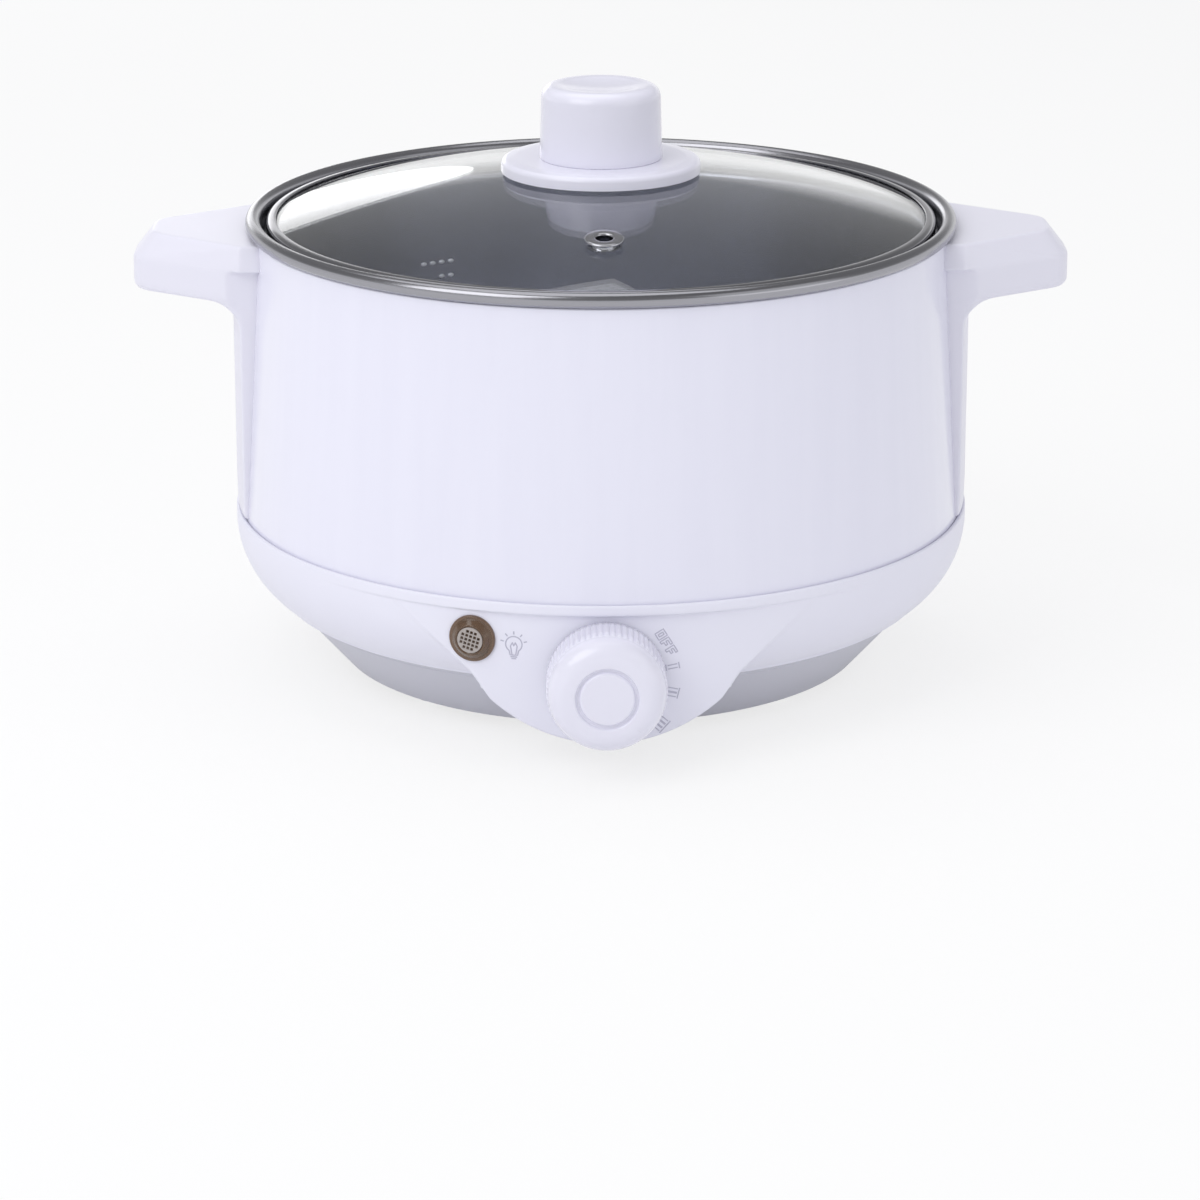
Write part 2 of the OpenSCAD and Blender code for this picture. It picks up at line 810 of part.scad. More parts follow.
module handle_screws() {
    color("gray") handle_screw_places() screw(screw_r, handle_screw_l, screw_head_r, screw_head_h);
}

module cover_screws() {
    color("gray") round_copies(cover_screw_count, cover_boss_pr, 45) translate([0, 0, foot_h])
        screw(screw_r, cover_floor + cover_screw_l - screw_spare, screw_head_r, screw_head_h);
}

module rubber_feet() {
    color("dimgray") round_copies(foot_count, foot_pr) {
        cylinder(r = foot_r, h = foot_h);
        cylinder(r = foot_stem_r, h = floor_top_z + foot_bulb_h);
        translate([0, 0, floor_top_z]) cylinder(r = foot_bulb_r, h = foot_bulb_h);
    }
}

module heater_plate() {
    color("lightgray") difference() {
        translate([0, 0, plate_z]) cylinder(r = plate_r, h = plate_t);
        translate([0, 0, plate_z]) rotate_extrude() translate([element_r, 0]) circle(r = sheath_r + fit);
        for (side = [-1, 1]) translate([side * stud_x, 0, 0]) cylinder(r = stud_d / 2 + seat_gap, h = far);
        for (side = [-1, 1]) translate([0, side * cutout_screw_y, plate_z - over])
            cylinder(r = cutout_screw_r + slide_fit, h = cutout_screw_l + over);
    }
}

module heating_element() {
    color("dimgray") {
        translate([0, 0, plate_z]) rotate([0, 0, element_a0]) rotate_extrude(angle = element_turn)
            translate([element_r, 0]) circle(r = sheath_r);
        for (side = [-1, 1]) translate([side * pin_x, pin_y, 0]) {
            translate([0, 0, sheath_end_z])
                cylinder(r = sheath_r + sheath_collar, h = plate_z - sheath_end_z - fit);
            translate([0, 0, pin_end_z]) cylinder(r = pin_r, h = sheath_end_z - pin_end_z + over);
        }
    }
}

module on_studs(z) {
    for (side = [-1, 1]) translate([side * stud_x, 0, z]) children();
}

module pot_studs() {
    color("silver") on_studs(stud_end_z) cylinder(r = stud_d / 2, h = plate_top_z - stud_end_z);
}

module stud_spacers() {
    color("silver") on_studs(shield_top_z) ring(stud_d / 2 + spacer_wall, stud_d / 2 + slide_fit, spacer_l);
}

module stud_nuts() {
    color("silver") on_studs(tie_z - nut_h) difference() {
        cylinder(r = nut_af / sqrt(3), h = nut_h, $fn = 6);
        translate([0, 0, -over]) cylinder(r = stud_d / 2 + slide_fit, h = nut_h + 2 * over);
    }
}

module heat_shield() {
    color("lightsteelblue") difference() {
        translate([0, 0, shield_z]) cylinder(d = shield_d, h = shield_t);
        on_studs(0) cylinder(r = stud_d / 2 + seat_gap, h = far);
        for (side = [-1, 1]) translate([side * pin_x, pin_y, 0]) cylinder(r = pin_hole_r, h = far);
        for (hole = [live_hole, switch_hole]) translate(hole) cylinder(r = shield_hole_r, h = far);
    }
}

module tie_strap() {
    color("silver") difference() {
        translate([-tie_half, -tie_w / 2, tie_z]) cube([2 * tie_half, tie_w, tie_t]);
        on_studs(0) cylinder(r = stud_d / 2 + seat_gap, h = far);
        for (side = [-1, 1]) translate([side * tie_boss_x, 0, 0]) cylinder(r = screw_free_r, h = far);
    }
}

module tie_screws() {
    color("gray") for (side = [-1, 1]) translate([side * tie_boss_x, 0, tie_z])
        screw(screw_r, tie_t + tie_boss_h - 3 * screw_spare, screw_head_r, screw_head_h);
}

module thermal_cutout() {
    color("tan") difference() {
        union() {
            translate([0, 0, plate_z - cutout_h]) cylinder(r = cutout_r, h = cutout_h);
            translate([-cutout_ear_w / 2, -cutout_ear_y, plate_z - cutout_ear_t])
                cube([cutout_ear_w, 2 * cutout_ear_y, cutout_ear_t]);
            translate([-cutout_r - cutout_tab_l, -tab_w / 2, cutout_tab_z - tab_t / 2])
                cube([2 * (cutout_r + cutout_tab_l), tab_w, tab_t]);
        }
        for (side = [-1, 1]) translate([0, side * cutout_screw_y, 0])
            cylinder(r = cutout_screw_r + fit, h = far);
    }
}

module cutout_screws() {
    color("gray") for (side = [-1, 1]) translate([0, side * cutout_screw_y, plate_z - cutout_ear_t])
        screw(cutout_screw_r, cutout_ear_t + cutout_screw_l - 0.5, cutout_head_r, cutout_head_h);
}

module switch_housing() {
    color("darkslategray") difference() {
        union() {
            on_switch(switch_y - switch_l) translate([-switch_w / 2, -switch_half_h, 0])
                cube([switch_w, 2 * switch_half_h, switch_l]);
            on_switch(switch_y - over) cylinder(r = bush_r, h = panel_seat_y + bush_out - switch_y + over);
        }
        on_switch(switch_y - switch_l - over)
            cylinder(r = switch_cavity_r, h = switch_l - switch_wall + over);
        on_switch(switch_y - switch_l) cylinder(r = shaft_r + slide_fit, h = far);
    }
}

module switch_cover() {
    color("dimgray") on_switch(tab_y) difference() {
        translate([-switch_w / 2, -switch_half_h, 0]) cube([switch_w, 2 * switch_half_h, switch_cover_t]);
        translate([0, 0, switch_cover_t - shaft_tail]) cylinder(r = shaft_r + slide_fit, h = switch_cover_t);
    }
}

module switch_nut() {
    color("silver") on_switch(panel_seat_y) difference() {
        cylinder(r = switch_nut_r, h = switch_nut_h, $fn = 6);
        translate([0, 0, -over]) cylinder(r = bush_r + slide_fit, h = switch_nut_h + 2 * over);
    }
}

module switch_tabs() {
    color("goldenrod") on_switch(tab_y - tab_l) for (x = [-tab_x, tab_x]) for (z = [-tab_z, tab_z])
        translate([x - tab_w / 2, z - tab_t / 2, 0]) cube([tab_w, tab_t, tab_l]);
}

// Round shaft with a flat along its front end
module shaft(radius, flat, low, high, flat_from) {
    difference() {
        translate([0, 0, low]) cylinder(r = radius, h = high - low);
        translate([-far / 2, radius - flat, flat_from]) cube([far, far, high - flat_from + over]);
    }
}

module switch_rotor() {
    low = switch_y - switch_l - shaft_tail + slide_fit;
    cam = switch_y - switch_l + cam_gap;
    color("peru") on_switch(0) {
        shaft(shaft_r, shaft_flat, low, knob_back_y + shaft_in_knob - fit, panel_seat_y + bush_out);
        difference() {
            translate([0, 0, cam]) cylinder(r = rotor_r, h = rotor_h);
            for (i = [0 : 3]) rotate([0, 0, 90 + i * rotor_step_a]) translate([rotor_r, 0, cam - over])
                cylinder(r = rotor_notch_r, h = rotor_h + 2 * over);
        }
    }
}

module ribbed_disc() {
    pitch = 360 / rib_count;
    low = knob_r - rib_depth;
    polygon([
        for (i = [0 : rib_count - 1]) each [
            low * [cos(i * pitch), sin(i * pitch)],
            knob_r * [cos((i + 0.25) * pitch), sin((i + 0.25) * pitch)],
            knob_r * [cos((i + 0.6) * pitch), sin((i + 0.6) * pitch)],
            low * [cos((i + 0.85) * pitch), sin((i + 0.85) * pitch)]
        ]
    ]);
}

module knob_front() {
    face_r = knob_r - rib_depth - shoulder_r;
    square_top = knob_h - shoulder_r;
    rotate_extrude() {
        translate([0, rib_l - over]) square([face_r + shoulder_r, square_top - rib_l + over]);
        translate([0, square_top - over]) square([face_r, shoulder_r + over]);
        intersection() {
            translate([face_r, square_top]) circle(r = shoulder_r);
            translate([face_r - over, square_top - over]) square([shoulder_r + over, shoulder_r + over]);
        }
    }
}

module control_knob() {
    color("white") on_switch(knob_back_y) difference() {
        union() {
            linear_extrude(height = rib_l) ribbed_disc();
            knob_front();
            rotate([0, 0, pointer_a])
                translate([groove_r + pointer_gap, -pointer_w / 2, knob_h - shoulder_r])
                    cube([pointer_l, pointer_w, shoulder_r - fit]);
        }
        translate([0, 0, -over]) ring(knob_r - knob_wall, knob_boss_r, knob_hollow + over);
        translate([0, 0, -over]) cylinder(r = knob_r - knob_wall, h = knob_boss_in + over);
        shaft(shaft_r + 0.02, shaft_flat, -over, shaft_in_knob, knob_boss_in - over);
        translate([0, 0, knob_h - groove_depth]) ring(groove_r, disc_d / 2, groove_depth + over);
    }
}

module lamp_lens() {
    color("saddlebrown") on_lamp(lamp_seat_y) difference() {
        union() {
            cylinder(r = lens_r, h = lens_t);
            cylinder(r = lens_r - lens_flange, h = lens_t + lens_crown);
            translate([0, 0, -barrel_l]) cylinder(r = barrel_r, h = barrel_l + over);
        }
        translate([0, 0, -barrel_l - over]) cylinder(r = barrel_r - barrel_wall, h = barrel_l + over);
    }
}

module lamp_holder() {
    color("dimgray") on_lamp(lamp_back_y) difference() {
        cylinder(r = barrel_r + fit + holder_t, h = holder_l);
        translate([0, 0, holder_end]) cylinder(r = barrel_r + fit, h = holder_l);
    }
}

module lamp_bulb() {
    color("orange") on_lamp(lamp_back_y + holder_end) {
        cylinder(r = bulb_r, h = bulb_l);
        translate([0, 0, bulb_l]) sphere(r = bulb_r);
    }
}

module cord_gland() {
    color("gray") on_port(port_in_y - gland_nut_t) difference() {
        union() {
            cylinder(r = gland_r, h = port_y - port_in_y + gland_nut_t + over);
            translate([0, 0, port_y - port_in_y + gland_nut_t])
                cylinder(r = gland_flange_r, h = gland_flange_t);
        }
        translate([0, 0, -over]) cylinder(r = gland_bore_d / 2, h = far);
    }
}

module gland_nut() {
    color("gray") on_port(port_in_y - gland_nut_t) difference() {
        cylinder(r = gland_flange_r, h = gland_nut_t, $fn = 6);
        translate([0, 0, -over]) cylinder(r = gland_r + slide_fit, h = gland_nut_t + 2 * over);
    }
}

module terminal_block() {
    color("ivory") difference() {
        translate([block_x[0], block_y[0], floor_top_z])
            cube([block_x[1] - block_x[0], block_y[1] - block_y[0], block_h]);
        for (x = block_way_x) {
            translate([x, block_y[1] + over, block_way_z]) rotate([90, 0, 0])
                cylinder(r = block_way_r, h = block_way_l + over);
            translate([x, block_screw_y, block_way_z]) cylinder(r = screw_r, h = block_h);
        }
    }
}

module block_screws() {
    color("goldenrod") for (x = block_way_x)
        translate([x, block_screw_y, block_way_z + block_way_r + fit])
            cylinder(r = screw_r - slide_fit, h = block_h / 3);
}

module live_lead() {
    color("sienna") lead(live_route, lead_r);
}

module switch_lead() {
    color("sienna") lead(switch_route, lead_r);
}

module element_lead() {
    color("sienna") lead(element_route, lead_r);
}

module neutral_lead() {
    color("steelblue") lead(neutral_route, lead_r);
}

module earth_lead() {
    color("yellowgreen") lead(earth_route, lead_r);
}

module lamp_leads() {
    color("white") {
        lead(lamp_route_a, lamp_lead_r);
        lead(lamp_route_b, lamp_lead_r);
    }
}

// Part of a ball of the dome's centre, inside a cylinder
module dome_cap(ball_r, radius) {
    intersection() {
        translate([0, 0, dome_z]) sphere(r = ball_r, $fn = dome_fn);
        translate([0, 0, lid_z]) cylinder(r = radius, h = far);
    }
}

module lid_glass() {
    color("lightblue", 0.4) difference() {
        dome_cap(dome_r, glass_r);
        translate([0, 0, dome_z]) sphere(r = dome_in_r, $fn = dome_fn);
        cylinder(r = lid_hole_r, h = far);
        on_vent() cylinder(r = eyelet_tube_r + fit, h = 4 * glass_t, center = true);
    }
}

module lid_rim() {
    color("silver") rotate_extrude() {
        translate([lid_r - rim_t, lid_z]) square([rim_t, rim_top_z - lid_z]);
        translate([rim_in_r, lid_z]) square([rim_w, rim_t]);
        translate([rim_in_r, rim_top_z - rim_t]) square([rim_w, rim_t]);
    }
}

module lid_collar() {
    edge_z = collar_top_z - collar_edge_r;
    color("white") difference() {
        rotate_extrude() {
            translate([0, collar_z - over]) square([collar_r, edge_z - collar_z + over]);
            translate([0, edge_z]) square([collar_r - collar_edge_r, collar_edge_r]);
            translate([collar_r - collar_edge_r, edge_z]) intersection() {
                circle(r = collar_edge_r);
                square([collar_edge_r, collar_edge_r]);
            }
        }
        translate([0, 0, dome_z]) sphere(r = dome_r + gasket_t + slide_fit, $fn = dome_fn);
        cylinder(r = screw_free_r, h = far);
    }
}

module lid_knob() {
    top_z = lid_knob_h;
    round_z = top_z - lid_knob_round;
    foot_r = lid_knob_r + lid_knob_draft;
    shoulder = lid_knob_r - lid_knob_round;
    bowl_r = (dish_r * dish_r + lid_knob_dish * lid_knob_dish) / (2 * lid_knob_dish);
    color("white") translate([0, 0, collar_top_z]) difference() {
        rotate_extrude() {
            polygon([
                [0, 0], [foot_r, 0], [lid_knob_r, round_z], [shoulder, round_z],
                [shoulder, top_z], [0, top_z]
            ]);
            translate([shoulder, round_z]) intersection() {
                circle(r = lid_knob_round);
                translate([-over, -over]) square([lid_knob_round + over, lid_knob_round + over]);
            }
        }
        translate([0, 0, top_z - lid_knob_dish + bowl_r]) sphere(r = bowl_r);
        translate([0, 0, -over]) ring(
            lid_knob_r - lid_knob_wall, lid_boss_r, top_z - lid_knob_wall - lid_knob_dish + over
        );
        translate([0, 0, -over]) cylinder(r = screw_hole_r, h = lid_screw_top - collar_top_z + 2 * over);
    }
}

module lid_gasket() {
    color("gainsboro") difference() {
        dome_cap(dome_r + gasket_t, gasket_r);
        translate([0, 0, dome_z]) sphere(r = dome_r, $fn = dome_fn);
        cylinder(r = lid_hole_r, h = far);
    }
}

module lid_washer() {
    color("silver") translate([0, 0, lid_washer_top - lid_washer_t - slide_fit])
        ring(lid_washer_r, screw_free_r, lid_washer_t);
}

module lid_screw() {
    low = lid_washer_top - lid_washer_t - slide_fit;
    color("silver") translate([0, 0, low]) screw(screw_r, lid_screw_top - low, screw_head_r, screw_head_h);
}

module vent_eyelet() {
    color("silver") on_vent() difference() {
        union() {
            translate([0, 0, slide_fit]) cylinder(r = eyelet_r, h = eyelet_t);
            translate([0, 0, -glass_t - eyelet_t - fit]) cylinder(r = eyelet_r - eyelet_curl, h = eyelet_t);
            translate([0, 0, -glass_t - eyelet_t]) cylinder(r = eyelet_tube_r, h = glass_t + eyelet_t + fit);
        }
        cylinder(r = eyelet_tube_r - eyelet_wall, h = 4 * glass_t, center = true);
    }
}

place() inner_pot();
place() outer_shell();
place() base_housing();
place() bottom_cover();
place() right_handle();
place() left_handle();
place() handle_screws();
place() cover_screws();
place() rubber_feet();
place() heater_plate();
place() heating_element();
place() pot_studs();
place() stud_spacers();
place() stud_nuts();
place() heat_shield();
place() tie_strap();
place() tie_screws();
place() thermal_cutout();
place() cutout_screws();
place() switch_housing();
place() switch_cover();
place() switch_nut();
place() switch_tabs();
place() switch_rotor();
place() control_knob();
place() lamp_lens();
place() lamp_holder();
place() lamp_bulb();
place() cord_gland();
place() gland_nut();
place() terminal_block();
place() block_screws();
place() live_lead();
place() switch_lead();
place() element_lead();
place() neutral_lead();
place() earth_lead();
place() lamp_leads();
place() lid_glass();
place() lid_rim();
place() lid_collar();
place() lid_knob();
place() lid_gasket();
place() lid_washer();
place() lid_screw();
place() vent_eyelet();
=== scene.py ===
"""Dresses a cooker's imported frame: white shell, steel pot, glass lid, dial and pilot lamp."""

import json
import logging
import math
from dataclasses import dataclass, field
from enum import Enum
from typing import Any, Callable, Sequence, Union

import bpy
from mathutils import Matrix, Vector

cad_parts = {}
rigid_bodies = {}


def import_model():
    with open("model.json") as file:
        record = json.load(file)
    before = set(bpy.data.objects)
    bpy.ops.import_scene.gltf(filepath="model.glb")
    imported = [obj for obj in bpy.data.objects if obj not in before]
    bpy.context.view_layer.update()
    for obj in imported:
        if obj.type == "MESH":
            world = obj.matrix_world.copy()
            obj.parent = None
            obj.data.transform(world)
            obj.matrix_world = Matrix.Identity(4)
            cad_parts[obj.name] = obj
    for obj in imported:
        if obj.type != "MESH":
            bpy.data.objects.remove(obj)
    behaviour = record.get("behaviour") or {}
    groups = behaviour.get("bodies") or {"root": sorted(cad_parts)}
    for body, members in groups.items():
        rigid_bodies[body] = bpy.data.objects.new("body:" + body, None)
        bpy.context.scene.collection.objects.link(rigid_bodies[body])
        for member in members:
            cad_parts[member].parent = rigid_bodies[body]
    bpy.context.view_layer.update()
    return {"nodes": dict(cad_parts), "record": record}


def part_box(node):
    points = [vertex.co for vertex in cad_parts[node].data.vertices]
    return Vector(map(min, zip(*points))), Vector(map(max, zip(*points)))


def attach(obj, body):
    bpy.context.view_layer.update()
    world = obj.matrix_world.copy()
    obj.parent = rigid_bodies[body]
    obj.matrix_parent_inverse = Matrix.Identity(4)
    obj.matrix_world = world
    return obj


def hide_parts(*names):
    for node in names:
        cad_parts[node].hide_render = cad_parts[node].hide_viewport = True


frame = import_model()

log = logging.getLogger("cooker")

MM = 0.001
TURN = 2 * math.pi
MERGE = 1e-6
STRAIGHT = 1e-4
NOISE_FADE = 0.55

Point = tuple[float, float]
Corner = tuple[float, float, float]


class Body(Enum):
    """Bodies of the frame that pieces ride on."""

    COOKER = "cooker"
    LID = "lid"
    CONTROL = "control"


def record_place(rows: Sequence[dict[str, Any]], name: str) -> Vector:
    """Returns the place of one of the record's mounts or joints, in millimetres."""
    for row in rows:
        if row["name"] == name:
            return Vector(row["pos_m"]) / MM
    raise KeyError(name)


def mount_place(name: str) -> Vector:
    """Returns the place of a mount, in millimetres."""
    return record_place(frame["record"]["mounts"], name)


def knob_place() -> Vector:
    """Returns the place of the switch's axis, in millimetres."""
    return record_place(frame["record"]["behaviour"]["joints"], "knob_turn")


def node_box(node: str) -> tuple[Vector, Vector]:
    """Returns the lowest and highest corners of a CAD node, in millimetres."""
    low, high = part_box(node)
    return Vector(low) / MM, Vector(high) / MM


AXIS_Y = mount_place("foot_rest").y
UP = Vector((0, 0, 1))
RIGHT = Vector((1, 0, 0))
FRONT = Vector((0, -1, 0))
BACK = Vector((0, 1, 0))
POT_AXIS = Vector((0, AXIS_Y, 0))


def smooth_min(a: float, b: float, blend: float) -> float:
    """Returns the lesser of two values, with their crossing rounded over a length."""
    share = max(blend - abs(a - b), 0) / blend
    return min(a, b) - share * share * blend / 4


def smooth_max(a: float, b: float, blend: float) -> float:
    """Returns the greater of two values, with their crossing rounded over a length."""
    return -smooth_min(-a, -b, blend)


def fillet(before: Vector, corner: Vector, after: Vector, radius: float, steps: int) -> list[Point]:
    """Turns one corner of an outline with an arc.

    Args:
        before: Point before the corner.
        corner: The corner itself.
        after: Point after the corner.
        radius: Radius of the arc; 0 keeps the corner sharp.
        steps: Number of chords of the arc.

    Returns:
        The points that stand for the corner.
    """
    back, on = (before - corner).normalized(), (after - corner).normalized()
    half = back.angle(on) / 2
    if radius <= 0 or half > math.pi / 2 - STRAIGHT:
        return [tuple(corner)]
    middle = corner + (back + on).normalized() * (radius / math.sin(half))
    reach = radius / math.tan(half)
    start, end = corner + back * reach - middle, corner + on * reach - middle
    sweep = start.angle_signed(end)
    first = math.atan2(start.y, start.x)
    angles = [first - sweep * i / steps for i in range(steps + 1)]
    return [(middle.x + radius * math.cos(a), middle.y + radius * math.sin(a)) for a in angles]


def rounded(corners: Sequence[Corner], closed: bool = True, steps: int = 6) -> list[Point]:
    """Draws an outline whose corners are turned with arcs.

    Args:
        corners: Points with the radius of the arc at each.
        closed: Whether the last point leads back to the first.
        steps: Number of chords of each arc.

    Returns:
        The points of the outline.
    """
    spots = [Vector(corner[:2]) for corner in corners]
    points: list[Point] = []
    for i, (x, y, radius) in enumerate(corners):
        if not closed and i in (0, len(corners) - 1):
            points.append((x, y))
            continue
        after = spots[(i + 1) % len(spots)]
        points += fillet(spots[i - 1], spots[i], after, radius, steps)
    return points


def arc(centre: Point, radius: float, start: float, end: float, steps: int) -> list[Point]:
    """Returns points on an arc, from one angle to another, in degrees."""
    angles = [math.radians(start + (end - start) * i / steps) for i in range(steps + 1)]
    return [(centre[0] + radius * math.cos(a), centre[1] + radius * math.sin(a)) for a in angles]


class Bench:
    """Blender's modelling operators, used one piece at a time."""

    @staticmethod
    def clear() -> None:
        """Leaves edit mode and deselects everything."""
        if bpy.context.object and bpy.context.object.mode != "OBJECT":
            bpy.ops.object.mode_set(mode="OBJECT")
        bpy.ops.object.select_all(action="DESELECT")

    @staticmethod
    def pick(*pieces: bpy.types.Object) -> None:
        """Selects only these pieces and makes the last one active."""
        Bench.clear()
        for piece in pieces:
            piece.select_set(True)
        bpy.context.view_layer.objects.active = pieces[-1]

    @staticmethod
    def named(name: str) -> bpy.types.Object:
        """Names the active object and its mesh."""
        piece = bpy.context.object
        piece.name = name
        piece.data.name = name
        return piece

    @staticmethod
    def wire(points: Sequence[Vector], closed: bool) -> None:
        """Starts a new mesh as a chain of edges and stays in edit mode.

        Args:
            points: Places along the chain, in millimetres.
            closed: Whether the chain leads back to its start.
        """
        Bench.clear()
        bpy.ops.mesh.primitive_plane_add(size=MM, location=(0, 0, 0))
        bpy.ops.object.mode_set(mode="EDIT")
        bpy.ops.mesh.merge(type="CENTER")
        bpy.ops.transform.translate(value=points[0] * MM)
        here = points[0]
        for point in [*points[1:], *(points[:1] if closed else [])]:
            bpy.ops.mesh.extrude_region_move(TRANSFORM_OT_translate={"value": (point - here) * MM})
            here = point
        bpy.ops.mesh.select_all(action="SELECT")

    @staticmethod
    def close() -> None:
        """Merges doubles, turns the normals outwards and leaves edit mode."""
        bpy.ops.mesh.select_all(action="SELECT")
        bpy.ops.mesh.remove_doubles(threshold=MERGE)
        bpy.ops.mesh.normals_make_consistent(inside=False)
        bpy.ops.object.mode_set(mode="OBJECT")

    @staticmethod
    def turned(
        name: str, profile: Sequence[Point], centre: Vector = POT_AXIS, axis: Vector = UP,
        across: Vector = RIGHT, closed: bool = True, steps: int = 180,
    ) -> bpy.types.Object:
        """Spins a profile into a piece.

        Args:
            name: Name of the piece.
            profile: Points as radius and height along the axis, in millimetres.
            centre: A point of the axis where the height is 0.
            axis: Direction of the axis.
            across: Direction in which the profile is drawn.
            closed: Whether the profile leads back to its start; an open one ends on the axis.
            steps: Number of facets round the axis.

        Returns:
            The piece.
        """
        Bench.wire([centre + across * radius + axis * height for radius, height in profile], closed)
        bpy.ops.mesh.spin(steps=steps, angle=TURN, center=centre * MM, axis=axis)
        Bench.close()
        piece = Bench.named(name)
        Bench.smooth(piece)
        return piece

    @staticmethod
    def smooth(piece: bpy.types.Object, sharp: float = 40) -> None:
        """Shades a piece smooth, up to an angle in degrees."""
        Bench.pick(piece)
        bpy.ops.object.shade_smooth_by_angle(angle=math.radians(sharp))

    @staticmethod
    def sheet(
        name: str, columns: int, rows: int, place: Callable[[float, float], Vector],
    ) -> bpy.types.Object:
        """Lays a grid over a surface.

        Args:
            name: Name of the piece.
            columns: Number of faces across.
            rows: Number of faces down.
            place: Gives the point, in millimetres, for shares from 0 to 1 across and down.

        Returns:
            The piece, with its doubles merged.
        """
        Bench.clear()
        bpy.ops.mesh.primitive_grid_add(x_subdivisions=columns, y_subdivisions=rows, size=1)
        piece = Bench.named(name)
        for vertex in piece.data.vertices:
            vertex.co = place(vertex.co.x + 0.5, 0.5 - vertex.co.y) * MM
        bpy.ops.object.mode_set(mode="EDIT")
        Bench.close()
        return piece

    @staticmethod
    def drawn(name: str, outline: Sequence[Vector], along: Vector) -> bpy.types.Object:
        """Fills a flat outline and draws it out into a bar.

        Args:
            name: Name of the piece.
            outline: Points of the outline, in millimetres.
            along: How far and which way it is drawn out.

        Returns:
            The piece.
        """
        Bench.wire(outline, True)
        bpy.ops.mesh.remove_doubles(threshold=MERGE)
        bpy.ops.mesh.edge_face_add()
        bpy.ops.mesh.extrude_region_move(TRANSFORM_OT_translate={"value": along * MM})
        Bench.close()
        return Bench.named(name)

    @staticmethod
    def rod(name: str, radius: float, start: Vector, along: Vector, sides: int = 64) -> bpy.types.Object:
        """Makes a round bar from a start point, in millimetres, for use as a cutter."""
        across = along.orthogonal().normalized()
        over = along.cross(across).normalized()
        ring = [start + radius * (across * math.cos(TURN * i / sides) + over * math.sin(TURN * i / sides))
                for i in range(sides)]
        return Bench.drawn(name, ring, along)

    @staticmethod
    def modify(piece: bpy.types.Object, kind: str, **settings: Any) -> None:
        """Adds a modifier with its settings and applies it."""
        Bench.pick(piece)
        modifier = piece.modifiers.new(kind.title(), kind)
        for key, value in settings.items():
            setattr(modifier, key, value)
        bpy.ops.object.modifier_apply(modifier=modifier.name)

    @staticmethod
    def cut(piece: bpy.types.Object, cutter: bpy.types.Object, operation: str = "DIFFERENCE") -> None:
        """Cuts a piece with another one, or joins the two, and throws the other away."""
        Bench.modify(piece, "BOOLEAN", object=cutter, operation=operation, solver="EXACT")
        bpy.data.meshes.remove(cutter.data)

    @staticmethod
    def joined(name: str, pieces: Sequence[bpy.types.Object]) -> bpy.types.Object:
        """Makes one object of several."""
        Bench.pick(*pieces)
        bpy.ops.object.join()
        return Bench.named(name)

    @staticmethod
    def twin(node: str, name: str) -> bpy.types.Object:
        """Copies a CAD node's mesh into a piece of its own, with its doubles merged.

        Args:
            node: Name of the CAD node.
            name: Name of the new piece.

        Returns:
            The piece.
        """
        source = frame["nodes"][node]
        Bench.pick(source)
        bpy.ops.object.duplicate()
        bpy.ops.object.parent_clear(type="CLEAR_KEEP_TRANSFORM")
        piece = Bench.named(name)
        bpy.ops.object.mode_set(mode="EDIT")
        bpy.ops.mesh.select_all(action="SELECT")
        bpy.ops.mesh.remove_doubles(threshold=MERGE)
        bpy.ops.object.mode_set(mode="OBJECT")
        return piece


def fit_out(piece: bpy.types.Object, body: Body, slot: str, look: bpy.types.Material, *nodes: str) -> None:
    """Gives a finished piece its body and its finish, and hides the CAD nodes that it stands for.

    Args:
        piece: The piece.
        body: Body that it rides on.
        slot: Slot of the record that its finish belongs to; not used.
        look: Material of the piece.
        nodes: CAD nodes that it replaces.
    """
    piece.data.materials.clear()
    piece.data.materials.append(look)
    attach(piece, body.value)
    if nodes:
        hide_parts(*nodes)
    log.info("%s: %d faces on %s", piece.name, len(piece.data.polygons), body.value)


Value = Union["Wire", float]
Colour = tuple[float, float, float]


class Wire:
    """A socket's value inside a material, with arithmetic."""

    def __init__(self, tree: "Tree", socket: bpy.types.NodeSocket) -> None:
        """Holds the socket and the tree that it belongs to."""
        self.tree = tree
        self.socket = socket

    def _math(self, operation: str, *values: Value) -> "Wire":
        """Adds a Math node with these inputs."""
        return self.tree.node("ShaderNodeMath", {"operation": operation}, dict(enumerate(values)))

    def __add__(self, other: Value) -> "Wire":
        """Adds a value."""
        return self._math("ADD", self, other)

    def __sub__(self, other: Value) -> "Wire":
        """Takes a value away."""
        return self._math("SUBTRACT", self, other)

    def __mul__(self, other: Value) -> "Wire":
        """Multiplies by a value."""
        return self._math("MULTIPLY", self, other)

    def __gt__(self, other: Value) -> "Wire":
        """Gives 1 where this is greater than a value."""
        return self._math("GREATER_THAN", self, other)

    def clamped(self) -> "Wire":
        """Keeps the value between 0 and 1."""
        return self.tree.node("ShaderNodeClamp", {}, {"Value": self})


